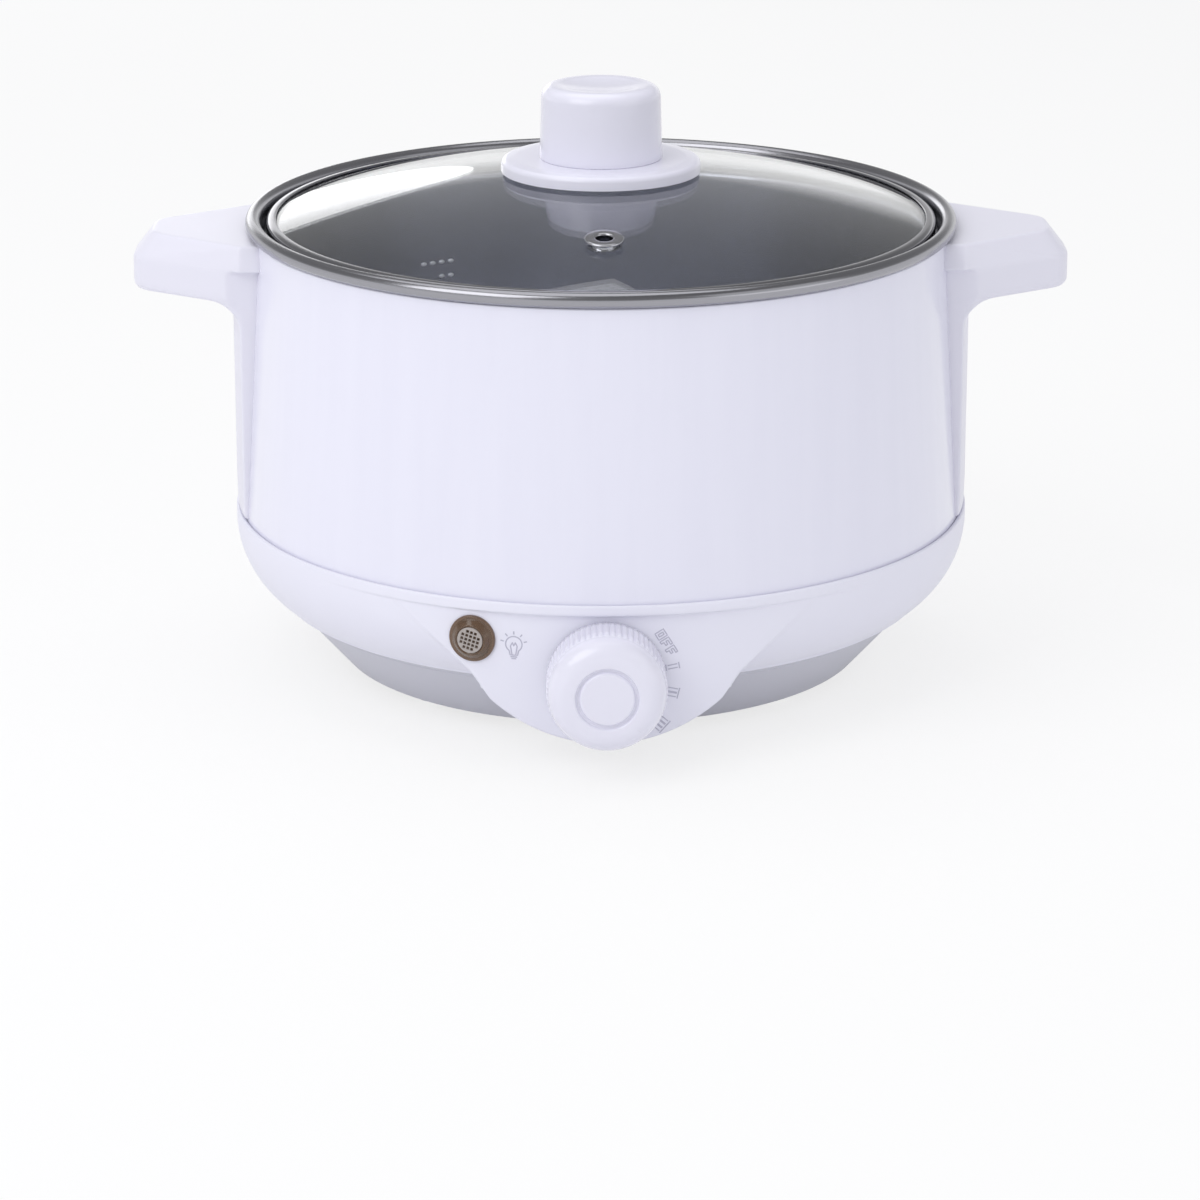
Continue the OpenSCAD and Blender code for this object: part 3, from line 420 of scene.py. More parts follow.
class Tree:
    """The node tree of one material or world."""

    def __init__(self, owner: Union[bpy.types.Material, bpy.types.World]) -> None:
        """Empties the owner's node tree."""
        owner.use_nodes = True
        self.tree = owner.node_tree
        self.tree.nodes.clear()

    def node(self, kind: str, settings: dict[str, Any], sockets: dict[Any, Any], output: Any = 0) -> Wire:
        """Adds a node.

        Args:
            kind: Type of the node.
            settings: Properties, set first; "stops" gives a ramp's places and greys or colours.
            sockets: Values or wires of its input sockets, by name or number.
            output: Name or number of the output that is wanted.

        Returns:
            That output.
        """
        made = self.tree.nodes.new(kind)
        for key, value in settings.items():
            if key == "stops":
                self._stops(made.color_ramp, value)
            else:
                setattr(made, key, value)
        for key, value in sockets.items():
            if isinstance(value, Wire):
                self.tree.links.new(value.socket, made.inputs[key])
            else:
                made.inputs[key].default_value = value
        return Wire(self, made.outputs[output]) if len(made.outputs) else None

    @staticmethod
    def _stops(ramp: bpy.types.ColorRamp, stops: Sequence[tuple[float, float]]) -> None:
        """Sets a ramp's stops as places and greys."""
        while len(ramp.elements) < len(stops):
            ramp.elements.new(1)
        for element, (place, grey) in zip(ramp.elements, stops):
            element.position = place
            element.color = (grey, grey, grey, 1)

    def place(self) -> Wire:
        """Gives the place on the piece, in metres."""
        return self.node("ShaderNodeTexCoord", {}, {}, "Object")

    def ramp(self, value: Wire, *stops: tuple[float, float]) -> Wire:
        """Maps a value through a ramp of greys."""
        return self.node("ShaderNodeValToRGB", {"stops": stops}, {"Fac": value})

    def noise(self, vector: Wire, scale: float, detail: float = 3) -> Wire:
        """Gives fractal noise from 0 to 1."""
        return self.node("ShaderNodeTexNoise", {}, {
            "Vector": vector, "Scale": scale, "Detail": detail, "Roughness": NOISE_FADE,
        })

    def seen(self) -> Wire:
        """Gives 1 for rays that the camera sees by: straight, mirrored or through glass."""
        kinds = ("Camera", "Glossy", "Transmission")
        straight, mirrored, through = [
            self.node("ShaderNodeLightPath", {}, {}, f"Is {kind} Ray") for kind in kinds
        ]
        return (straight + mirrored + through).clamped()

    def round_axis(self, vector: Wire, centre: Vector) -> tuple[Wire, Wire, Wire]:
        """Gives radius, angle and height about an upright axis.

        Args:
            vector: Place on the piece.
            centre: A point of the axis, in metres.

        Returns:
            Radius in metres, angle in radians and height in metres.
        """
        middle = self.node("ShaderNodeMapping", {}, {"Vector": vector, "Location": -centre})
        part = {
            name: self.node("ShaderNodeSeparateXYZ", {}, {"Vector": middle}, name) for name in "XYZ"
        }
        radius = self.node("ShaderNodeVectorMath", {"operation": "LENGTH"}, {
            0: self.node("ShaderNodeCombineXYZ", {}, {"X": part["X"], "Y": part["Y"]}),
        }, "Value")
        angle = self.node("ShaderNodeMath", {"operation": "ARCTAN2"}, {0: part["Y"], 1: part["X"]})
        return radius, angle, part["Z"]

    def joined(self, x: Value, y: Value, z: Value) -> Wire:
        """Makes a vector of three values."""
        return self.node("ShaderNodeCombineXYZ", {}, {"X": x, "Y": y, "Z": z})

    def mixed(self, share: Value, first: Any, second: Any) -> Wire:
        """Mixes two colours."""
        wide = [value if isinstance(value, Wire) else (*value, 1) for value in (first, second)]
        return self.node("ShaderNodeMix", {"data_type": "RGBA"}, {0: share, 6: wide[0], 7: wide[1]}, 2)

    def bump(self, height: Wire, depth: float) -> Wire:
        """Turns a height from 0 to 1 into a normal; the depth is in metres."""
        return self.node("ShaderNodeBump", {}, {"Height": height, "Strength": 1, "Distance": depth})

    def surface(self, **sockets: Any) -> Wire:
        """Adds the main shader; underscores in the names stand for spaces."""
        return self.node("ShaderNodeBsdfPrincipled", {}, {
            key.replace("_", " "): (*value, 1) if isinstance(value, tuple) and len(value) == 3 else value
            for key, value in sockets.items()
        })

    def output(self, shader: Wire, kind: str = "ShaderNodeOutputMaterial") -> None:
        """Ends the tree with a shader."""
        self.node(kind, {}, {"Surface": shader})


@dataclass(frozen=True)
class Surface:
    """A finish that builds its own material.

    Attributes:
        name: Name of the finish.
        colour: Its colour or tint.
    """

    name: str
    colour: Colour

    def material(self) -> bpy.types.Material:
        """Builds the material."""
        look = bpy.data.materials.new(self.name)
        tree = Tree(look)
        tree.output(self.shader(tree))
        return look

    def shader(self, tree: Tree) -> Wire:
        """Makes the material's shader."""
        raise NotImplementedError

    def darker(self, share: float) -> Colour:
        """Gives the colour with its channels cut to a share."""
        return tuple(channel * share for channel in self.colour)


@dataclass(frozen=True)
class Finish(Surface):
    """A moulded or painted finish with slight unevenness.

    Attributes:
        rough: Its mean roughness.
        uneven: How far roughness and tone vary.
        grain: Scale of the surface's texture, per metre.
        depth: Depth of that texture, in metres.
        coat: Weight of a clear coat.
        metal: Whether it is bare metal.
        clouds: Scale of the unevenness, per metre.
        coat_rough: Roughness of the clear coat.
    """

    rough: float = 0.35
    uneven: float = 0.06
    grain: float = 900
    depth: float = 0.00001
    coat: float = 0.0
    metal: float = 0.0
    clouds: float = 14
    coat_rough: float = 0.06

    def shader(self, tree: Tree) -> Wire:
        """Makes the shader, with clouds in its tone and a fine texture."""
        here = tree.place()
        cloud = tree.noise(here, self.clouds)
        fine = tree.noise(here, self.grain, 2)
        return tree.surface(
            Base_Color=tree.mixed(cloud, self.darker(1 - 0.6 * self.uneven), self.colour),
            Roughness=(cloud * 2 - 1) * self.uneven + fine * (0.5 * self.uneven) + self.rough,
            Metallic=self.metal,
            Coat_Weight=self.coat,
            Coat_Roughness=self.coat_rough,
            Normal=tree.bump(fine, self.depth),
        )


@dataclass(frozen=True)
class ReflectionStreakCoat(Surface):
    """Glossy white coat with faint upright streaks; the streaks' colour is painted reflection.

    Attributes:
        shade: Colour of the painted reflection streaks.
        rough: Roughness of the coat.
        streaks: Scale of the streaks round the shell and along its height.
        border: Noise levels between which shade turns to colour.
        ripple: Scale and depth of the coat's ripple, per metre and in metres.
        coat: Weight and roughness of the clear coat.
    """

    shade: Colour
    rough: float = 0.2
    streaks: Point = (9, 6)
    border: Point = (0.38, 0.68)
    ripple: Point = (420, 0.000002)
    coat: Point = (0.5, 0.05)

    def shader(self, tree: Tree) -> Wire:
        """Makes the shader, with painted reflection streaks in its tone, the same streaks in its roughness
        and a slight ripple.
        """
        _, angle, height = tree.round_axis(tree.place(), POT_AXIS * MM)
        reflection_streak = tree.noise(tree.joined(angle * self.streaks[0], height * self.streaks[1], 0), 1.6, 4)
        ripple = tree.noise(tree.place(), self.ripple[0], 1)
        # Painted reflection: the streaks mix a slightly darker colour into the coat's white.
        share = tree.ramp(reflection_streak, (self.border[0], 0), (self.border[1], 1))
        return tree.surface(
            Base_Color=tree.mixed(share, self.shade, self.colour),
            Roughness=reflection_streak * 0.04 + self.rough,
            Coat_Weight=self.coat[0],
            Coat_Roughness=self.coat[1],
            Normal=tree.bump(ripple, self.ripple[1]),
        )


@dataclass(frozen=True)
class TurnedSteel(Surface):
    """Steel with fine marks that run round the pot's axis.

    Attributes:
        rough: Its mean roughness.
        marks: Number of marks along a metre of height or radius.
        depth: Depth of the marks, in metres.
        bead: Darker colour on the rolled bead at the rim, painted shade for the dark reflections it shows, if
            the piece has one.
        bead_from: Radius at which that bead starts, in metres.
        smears: Scale of the smears, per metre.
        dull: Share of the colour that is left in the smears.
    """

    rough: float = 0.2
    marks: float = 2600
    depth: float = 0.000004
    bead: Union[Colour, None] = None
    bead_from: float = 0.0946
    smears: float = 22
    dull: float = 0.86

    def shader(self, tree: Tree) -> Wire:
        """Makes the shader, with marks in its roughness and smears in its tone."""
        here = tree.place()
        radius, angle, height = tree.round_axis(here, POT_AXIS * MM)
        line = tree.noise(tree.joined(radius * self.marks, angle * 3, height * self.marks), 1, 3)
        smear = tree.noise(here, self.smears)
        tone = tree.mixed(smear, self.darker(self.dull), self.colour)
        # Painted shade: the rolled bead gets a darker colour for the dark reflections it shows.
        if self.bead:
            tone = tree.mixed(radius > self.bead_from, tone, self.bead)
        return tree.surface(
            Base_Color=tone,
            Metallic=1.0,
            Roughness=line * 0.1 + smear * 0.06 + (self.rough - 0.08),
            Normal=tree.bump(line, self.depth),
        )


@dataclass(frozen=True)
class ClearGlass(Surface):
    """Clear tempered glass with a trace of smudges.

    Attributes:
        smudges: Scale of the smudges, per metre.
        smudge_rough: Roughness in the smudges.
        bend: Index of refraction.
    """

    smudges: float = 30
    smudge_rough: float = 0.05
    bend: float = 1.5

    def shader(self, tree: Tree) -> Wire:
        """Makes the shader, which lets light through to what lies in its shadow."""
        smudge = tree.noise(tree.place(), self.smudges, 4)
        glass = tree.surface(
            Base_Color=self.colour,
            Roughness=tree.ramp(smudge, (0.55, 0), (0.8, self.smudge_rough)),
            IOR=self.bend,
            Transmission_Weight=1.0,
        )
        clear = tree.node("ShaderNodeBsdfTransparent", {}, {"Color": (*self.colour, 1)})
        shadow = tree.node("ShaderNodeLightPath", {}, {}, "Is Shadow Ray")
        return tree.node("ShaderNodeMixShader", {}, {0: shadow, 1: glass, 2: clear})


@dataclass(frozen=True)
class TintedLens(Surface):
    """Clear moulded plastic of one tint.

    Attributes:
        clear: Share of light that passes.
        clouds: Scale of the clouds in the plastic, per metre.
        deep: Share of the tint that is left in the clouds.
        bend: Index of refraction.
    """

    clear: float = 0.75
    clouds: float = 260
    deep: float = 0.7
    bend: float = 1.49

    def shader(self, tree: Tree) -> Wire:
        """Makes the shader, with clouds in its tint."""
        cloud = tree.noise(tree.place(), self.clouds)
        return tree.surface(
            Base_Color=tree.mixed(cloud, self.darker(self.deep), self.colour),
            Roughness=cloud * 0.06 + 0.05,
            IOR=self.bend,
            Transmission_Weight=self.clear,
        )


class Looks:
    """Every finish of the object, made once."""

    def __init__(self) -> None:
        """Makes the materials by the record's slot names."""
        white = (0.83, 0.825, 0.925)
        finishes = [
            # The shell's streak colour is painted reflection of its glossy coat.
            ReflectionStreakCoat("shell_white", (0.815, 0.81, 0.92), (0.801, 0.796, 0.908)),
            Finish("base_white", white, 0.4, 0.04, 700, 0.000001),
            Finish("handle_white", (0.80, 0.79, 0.885), 0.34, 0.05, 800, 0.000002),
            Finish("knob_white", (0.81, 0.80, 0.905), 0.24, 0.04, 700, 0.0000015, 0.3),
            Finish("cover_grey", (0.62, 0.62, 0.69), 0.5, 0.06, 1500, 0.000004),
            # pot_steel's bead colour is painted shade for the rim's dark reflections.
            TurnedSteel("pot_steel", (0.58, 0.59, 0.66), 0.22, bead=(0.36, 0.36, 0.39)),
            TurnedSteel("rim_steel", (0.56, 0.56, 0.60), 0.14, 1800, 0.000002),
            # A darker copy of the rim steel: painted shade for the lid band's dark reflections.
            TurnedSteel("shaded_band_steel", (0.36, 0.36, 0.39), 0.14, 1800, 0.000002),
            # A paler copy of the pot's steel: painted highlight on the pressed level marks.
            TurnedSteel("highlight_mark_steel", (0.93, 0.93, 0.95), 0.5),
            ClearGlass("lid_glass", (0.955, 0.97, 0.99)),
            TintedLens("lens_brown", (0.31, 0.19, 0.12), 0.55),
            Finish("foot_rubber", (0.045, 0.045, 0.048), 0.75, 0.1, 2200, 0.00004),
            Finish("heater_aluminium", (0.62, 0.62, 0.63), 0.45, 0.1, 1300, 0.00003, 0, 1),
            Finish("sheath_steel", (0.16, 0.15, 0.15), 0.5, 0.12, 1100, 0.00002, 0, 1),
            Finish("screw_steel", (0.55, 0.55, 0.57), 0.28, 0.08, 1600, 0.00001, 0, 1),
            Finish("plated_steel", (0.58, 0.59, 0.61), 0.34, 0.12, 800, 0.00001, 0, 1),
            Finish("cutout_tan", (0.36, 0.24, 0.11), 0.5, 0.1, 1500, 0.00002),
            Finish("switch_black", (0.012, 0.012, 0.013), 0.5, 0.08, 1500, 0.00002),
            Finish("rotor_tan", (0.45, 0.32, 0.17), 0.45, 0.08, 1300, 0.00001),
            Finish("brass", (0.62, 0.42, 0.14), 0.28, 0.1, 1600, 0.00001, 0, 1),
            TintedLens("bulb_glass", (0.95, 0.72, 0.5), 0.9),
            Finish("gland_grey", (0.24, 0.24, 0.25), 0.5, 0.08, 1500, 0.00002),
            Finish("block_ivory", (0.72, 0.66, 0.5), 0.45, 0.06, 1200, 0.00001),
            Finish("lead_brown", (0.08, 0.03, 0.014), 0.55, 0.08, 2600, 0.00004),
            Finish("lead_blue", (0.02, 0.06, 0.23), 0.55, 0.08, 2600, 0.00004),
            Finish("lead_green", (0.12, 0.24, 0.02), 0.55, 0.08, 2600, 0.00004),
            Finish("lead_white", (0.7, 0.7, 0.68), 0.55, 0.08, 2600, 0.00004),
            Finish("silicone", (0.62, 0.62, 0.6), 0.55, 0.08, 900, 0.00001),
            Finish("waffle", (0.42, 0.38, 0.36), 0.3, 0.08, 1500, 0.00001),
            Finish("print_grey", (0.52, 0.51, 0.62), 0.5, 0.1, 1800, 0.000002),
        ]
        self.made = {finish.name: finish.material() for finish in finishes}

    def __getitem__(self, slot: str) -> bpy.types.Material:
        """Gives the material of a slot."""
        return self.made[slot]

    def dress_nodes(self) -> None:
        """Puts each CAD node's own finish on it."""
        for part in frame["record"]["subparts"]:
            node = frame["nodes"][part["node"]]
            node.data.materials.clear()
            node.data.materials.append(self[part["material_slot"]])
            log.info("%s dressed in %s", part["node"], part["material_slot"])


@dataclass
class Pot:
    """The drawn steel pot with its rolled rim and pressed level marks.

    Attributes:
        inner: Inner radius of the wall.
        sheet: Thickness of the sheet.
        corner: Radius between wall and floor.
        mouth: Inner radius above the lid's ledge.
        ledge_drop: Depth of the ledge below the rim.
        bead: Radius of the rolled rim.
        dash: Length, height and rise of a level mark.
        rows: Height, first angle and count of each row of level marks.
        pitch: Angle between level marks, in degrees.
    """

    inner: float = 90
    sheet: float = 0.8
    corner: float = 12
    mouth: float = 95.4
    ledge_drop: float = 6.8
    bead: float = 2.1
    dash: Corner = (2.0, 1.2, 0.9)
    rows: tuple[Corner, ...] = ((96.0, 119.5, 4), (91.6, 119.5, 2))
    pitch: float = 2.0

    def build(self, looks: Looks) -> None:
        """Makes the pot and its level marks."""
        low, high = node_box("inner_pot")
        floor, rim = low.z + self.sheet, high.z
        ledge = rim - self.ledge_drop
        roll = (high.x - self.bead, rim - self.bead)
        outer = self.inner + self.sheet
        profile = rounded([
            (0, floor, 0), (self.inner, floor, self.corner), (self.inner, ledge, 1.4),
            (self.mouth, ledge, 1.2), (self.mouth, roll[1] - 0.6, 0),
        ], closed=False)
        profile += arc(roll, self.bead, 172, -150, 26)
        profile += rounded([
            (self.mouth + self.sheet, roll[1] - 1.4, 0), (self.mouth + self.sheet, ledge - self.sheet, 0.5),
            (outer, ledge - self.sheet, 0.6), (outer, low.z, self.corner + self.sheet), (0, low.z, 0),
        ], closed=False)
        pot = Bench.turned("pot", profile, closed=False, steps=240)
        fit_out(pot, Body.COOKER, "pot_steel", looks["pot_steel"], "inner_pot")
        self.marks(looks)

    def marks(self, looks: Looks) -> None:
        """Makes two rows of raised dashes on the wall's far side."""
        dashes = []
        for height, start, count in self.rows:
            for i in range(count):
                angle = math.radians(start + i * self.pitch)
                Bench.clear()
                bpy.ops.mesh.primitive_uv_sphere_add(segments=12, ring_count=8, radius=MM)
                bpy.ops.transform.resize(value=(self.dash[2], self.dash[0] / 2, self.dash[1] / 2))
                dash = bpy.context.object
                dash.rotation_euler = (0, 0, angle)
                dash.location = (POT_AXIS + Vector((math.cos(angle), math.sin(angle), 0)) * self.inner) * MM
                dash.location.z = height * MM
                bpy.ops.object.transform_apply(location=True, rotation=True, scale=True)
                dashes.append(dash)
        marks = Bench.joined("level_marks", dashes)
        Bench.smooth(marks, 60)
        # The marks wear the paler steel copy: painted highlight.
        fit_out(marks, Body.COOKER, "pot_steel", looks["highlight_mark_steel"])


@dataclass
class Shell:
    """The white sleeve round the pot.

    Attributes:
        top: Outer radius under the rim.
        foot: Outer radius at the base.
        wall: Thickness of the sheet.
    """

    top: float = 98.3
    foot: float = 102.9
    wall: float = 1.2

    def build(self, looks: Looks) -> None:
        """Makes the shell."""
        low, high = node_box("outer_shell")
        profile = rounded([
            (self.foot, low.z, 0), (self.top, high.z, 0.5),
            (self.top - self.wall, high.z, 0.3), (self.foot - self.wall, low.z, 0),
        ])
        shell = Bench.turned("shell", profile, steps=240)
        fit_out(shell, Body.COOKER, "shell_white", looks["shell_white"], "outer_shell")

    def skin(self) -> Callable[[float], float]:
        """Gives the shell's outer radius as a function of the height."""
        low, high = node_box("outer_shell")
        slope = (self.top - self.foot) / (high.z - low.z)
        return lambda height: self.foot + slope * (height - low.z)


@dataclass
class Panel:
    """The control panel: a drum's face inside the chin's outline.

    Attributes:
        radius: Radius of the face.
        behind: How far the face's middle lies behind the pot's axis, as a centre offset.
        low: Height of the lowest point.
        arc_r: Radius of the lower edge.
        arc_w: Half width where the round edge ends.
        knee: Half width and height of the knee.
        top: Half width and height under the band.
    """

    radius: float = 112
    behind: float = 9.4
    low: float = 6.8
    arc_r: float = 48.5
    arc_w: float = 31
    knee: Point = (36, 25)
    top: Point = (57.5, 44)

    def face(self, x: float) -> float:
        """Gives the face's place along Y at a place along X."""
        return AXIS_Y + self.behind - math.sqrt(self.radius ** 2 - x * x)

    def reach(self, angle: float) -> float:
        """Gives the face's distance from the pot's axis at an angle from the front."""
        aside, ahead = self.behind * math.sin(angle), self.behind * math.cos(angle)
        return math.sqrt(self.radius ** 2 - aside ** 2) - ahead

    def bottom(self, x: float) -> float:
        """Gives the height of the lower edge at a place along X."""
        x = abs(x)
        end = self.low + self.arc_r - math.sqrt(self.arc_r ** 2 - self.arc_w ** 2)
        if x <= self.arc_w:
            return self.low + self.arc_r - math.sqrt(self.arc_r ** 2 - x * x)
        return end + (self.knee[1] - end) * (x - self.arc_w) / (self.knee[0] - self.arc_w)

    def half_width(self, z: float) -> float:
        """Gives half the outline's width at a height."""
        end = self.bottom(self.arc_w)
        if z >= self.knee[1]:
            share = (z - self.knee[1]) / (self.top[1] - self.knee[1])
            return self.knee[0] + (self.top[0] - self.knee[0]) * share
        if z >= end:
            return self.arc_w + (self.knee[0] - self.arc_w) * (z - end) / (self.knee[1] - end)
        return math.sqrt(max(self.arc_r ** 2 - (self.low + self.arc_r - z) ** 2, 0))


@dataclass
class Base:
    """The moulded base: a bowl whose front grows into the panel's chin.

    Attributes:
        panel: Shape of the control panel.
        band: Radius of the straight band under the seam.
        bowl: Radius of the bowl's curve.
        lip: Height of the bowl's lower edge.
        spring: Height at which the bowl's curve starts.
        wall: Thickness of the wall.
        edge: Radius of the lower edge.
        chin_back: How far the chin runs back, as a distance from the pot's axis.
        crease: Lengths over which outer and inner creases are rounded.
        front: Angle of the finely divided front on each side, in degrees.
        fine: Share of the columns that lie over that front.
        lap: How far the band laps over the shell's foot.
        bead: Radius of the band's upper edge.
        ledge: Height of the step under the band.
        inlet: Radius of the boss for the gland, of its bore, and the boss's depth.
        bush: Radius of the hole for the switch's bush.
    """

    panel: Panel = field(default_factory=Panel)
    band: float = 104.2
    bowl: float = 25.96
    lip: float = 20.8
    spring: float = 43
    wall: float = 2.5
    edge: float = 0.8
    chin_back: float = 72
    crease: Point = (1.6, 3.4)
    front: float = 42
    fine: float = 0.68
    lap: float = 1.2
    bead: float = 0.55
    ledge: float = 0.35
    inlet: Corner = (9.2, 6.6, 12.5)
    bush: float = 5.0

    def outer(self, angle: float, z: float) -> float:
        """Gives the outer radius at an angle from the front and a height."""
        return self._skin(angle, z, 0, self.crease)

    def _skin(self, angle: float, z: float, inset: float, crease: Point) -> float:
        """Gives a skin's radius, drawn in by an inset and with its creases rounded."""
        drop = self.spring - max(z, self.lip)
        bowl = self.band - self.bowl + math.sqrt((self.bowl - inset) ** 2 - min(drop, self.bowl - inset) ** 2)
        side = abs(math.sin(angle)) if abs(angle) < math.pi / 2 else 1
        edge = (self.panel.half_width(z) - inset) / max(side, 0.02)
        if z < self.lip:
            bowl = min(bowl, edge)
        return smooth_min(self.panel.reach(angle) - inset, smooth_max(bowl, edge, crease[1]), crease[0])

    def foot(self, angle: float) -> float:
        """Gives the height of the lower edge at an angle from the front."""
        if abs(angle) > math.pi / 4:
            return self.lip
        return min(self.lip, self.panel.bottom(self.panel.reach(angle) * math.sin(angle)))

    def angle_at(self, share: float) -> float:
        """Spreads the columns: more than half of them over the front."""
        front, fine = math.radians(self.front), self.fine
        turn = share * 2 - 1
        if abs(turn) <= fine:
            return turn / fine * front
        return math.copysign(front + (abs(turn) - fine) / (1 - fine) * (math.pi - front), turn)

    def section(self, angle: float, rows: int, seat: float, seam: float) -> list[Point]:
        """Draws the closed section of the wall at an angle.

        Args:
            angle: Angle from the front, in radians.
            rows: Number of steps down the outer face, and half as many up the inner one.
            seat: Height on which the shell stands.
            seam: Height of the base's upper edge.

        Returns:
            Points as radius and height, the same number at every angle.
        """
        hole, bead = self.band - self.lap, self.bead
        foot, step = self.foot(angle), self.spring - 0.6
        points = [(hole, seat), (hole, seam - 0.3)]
        points += arc((self.band - bead, seam - bead), bead, 120, 0, 6)
        points += [(self.band, self.spring + 0.9), (self.band, self.spring + self.ledge)]
        top = self.outer(angle, step)
        points += [(top + (self.band - top) * share, self.spring + self.ledge - drop)
                   for share, drop in ((0.94, 0.14), (0.7, 0.32), (0.3, 0.5), (0.06, 0.68))]
        low = foot + self.edge
        for i in range(rows + 1):
            z = step + (low - step) * (i / rows)
            points.append((self.outer(angle, z), z))
        rim = self.outer(angle, low)
        points += arc((rim - self.edge, low), self.edge, -15, -90, 5)
        inner = self._skin(angle, foot + self.wall, self.wall, (0.5, 0.5))
        back = self.back(angle, foot)
        points += [(rim - self.edge + (back - rim + self.edge) * share, foot) for share in (0.25, 0.6, 1)]
        points += [(back, foot + 0.6 * self.wall), (min(inner, rim - self.wall), foot + self.wall)]
        for i in range(1, rows // 2 + 1):
            z = foot + self.wall + (seat - 0.8 - foot - self.wall) * i / (rows // 2)
            points.append((min(self._skin(angle, z, self.wall, (0.5, 0.5)), self.outer(angle, z) - 0.7), z))
        return points + [(hole, seat)]

    def back(self, angle: float, foot: float) -> float:
        """Gives the radius at which the lower face ends."""
        lip = self.band - self.bowl + math.sqrt((self.bowl - self.wall) ** 2 - (self.spring - self.lip) ** 2)
        if foot > self.lip - 0.05:
            return lip
        return self.chin_back / math.cos(angle)

    def build(self, looks: Looks) -> None:
        """Makes the base with its holes."""
        columns, rows = 470, 44
        seat = node_box("outer_shell")[0].z
        seam = node_box("base_housing")[1].z
        angles = [self.angle_at(column / columns) for column in range(columns + 1)]
        sections = [self.section(angle, rows, seat, seam) for angle in angles]
        count = len(sections[0]) - 1

        def place(across: float, down: float) -> Vector:
            """Finds a point of the grid."""
            column = round(across * columns)
            angle = angles[column]
            radius, height = sections[column][round(down * count)]
            return POT_AXIS + Vector((math.sin(angle) * radius, -math.cos(angle) * radius, height))

        base = Bench.sheet("base", columns, count, place)
        port = mount_place("cord_port")
        boss, bore, depth = self.inlet
        inlet = Vector((0, port.y - 2 - depth, port.z))
        Bench.cut(base, Bench.rod("boss", boss, inlet, BACK * depth), "UNION")
        Bench.cut(base, Bench.rod("bore", bore, inlet - BACK, BACK * (depth + 2)))
        behind = 9
        start = Vector((0, self.panel.face(0) + behind, knob_place().z))
        Bench.cut(base, Bench.rod("bush_hole", self.bush, start, FRONT * (behind + 3)))
        lamp = Lamp()
        start, along = lamp.seat(self.panel, -behind), lamp.axis(self.panel) * (behind + 5)
        Bench.cut(base, Bench.rod("lamp_hole", lamp.hole, start, along))
        Bench.smooth(base, 50)
        fit_out(base, Body.COOKER, "base_white", looks["base_white"], "base_housing")


@dataclass
class Lamp:
    """The pilot lamp's brown lens, which stands square on the panel.

    Attributes:
        x: Place along X.
        z: Height.
        radius: Radius of its flange.
        tip: Radius of the waffled disc at its tip.
        rise: How far it stands proud of the panel.
        hole: Radius of the hole behind it.
        pitch: Distance between the pits of the waffle.
        pit: Side of a pit.
        slant: Turn of the rows of pits, in degrees.
    """

    x: float = -35.5
    z: float = 35
    radius: float = 6.4
    tip: float = 3.55
    rise: float = 2.3
    hole: float = 5.6
    pitch: float = 1.12
    pit: float = 0.82
    slant: float = 14

    def axis(self, panel: Panel) -> Vector:
        """Gives the direction out of the panel at the lamp."""
        lean = math.asin(self.x / panel.radius)
        return Vector((math.sin(lean), -math.cos(lean), 0))

    def seat(self, panel: Panel, out: float) -> Vector:
        """Gives a point on the lamp's axis, some way out of the panel."""
        return Vector((self.x, panel.face(self.x), self.z)) + self.axis(panel) * out

    def build(self, looks: Looks, panel: Panel) -> None:
        """Makes the lens and the waffled disc at its tip."""
        axis, seat = self.axis(panel), self.seat(panel, 0)
        shoulder = self.radius - 1.0
        bed, stem, end = self.rise - 0.5, self.hole - 0.2, -7
        profile = rounded([
            (0, bed, 0), (self.tip - 0.1, bed, 0), (self.tip + 0.5, self.rise, 0.3),
            (shoulder, 0.9, 0.6), (self.radius, 0.7, 0.4), (self.radius, -0.4, 0), (stem, -0.4, 0),
            (stem, end, 0), (self.hole - 1.4, end, 0), (self.hole - 1.6, -0.6, 0.4), (0, -0.6, 0),
        ], closed=False)
        lens = Bench.turned("lamp_lens_brown", profile, seat, axis, UP, closed=False, steps=72)
        fit_out(lens, Body.COOKER, "lens_brown", looks["lens_brown"], "lamp_lens")
        thick = 0.45
        back = self.rise - thick
        disc = Bench.turned("lamp_waffle", rounded([
            (0, back, 0), (self.tip, back, 0), (self.tip, back + thick, 0.15), (0, back + thick, 0),
        ], closed=False), seat, axis, UP, closed=False, steps=48)
        Bench.cut(disc, self.pits(seat, axis))
        Bench.smooth(disc, 30)
        fit_out(disc, Body.COOKER, "lens_brown", looks["waffle"])

    def pits(self, seat: Vector, axis: Vector) -> bpy.types.Object:
        """Makes the square posts that cut the waffle's pits."""
        slant = math.radians(self.slant)
        level = axis.cross(UP)
        across = level * math.cos(slant) + UP * math.sin(slant)
        over = axis.cross(across)
        half = self.pit / 2
        posts = []
        count, border = 3, 0.45
        for i in range(-count, count + 1):
            for j in range(-count, count + 1):
                if math.hypot(i, j) * self.pitch > self.tip - border:
                    continue
                middle = seat + (across * i + over * j) * self.pitch + axis * (self.rise - 0.6)
                corners = [middle + across * half * a + over * half * b
                           for a, b in ((-1, -1), (1, -1), (1, 1), (-1, 1))]
                posts.append(Bench.drawn("post", corners, axis))
        return Bench.joined("posts", posts)


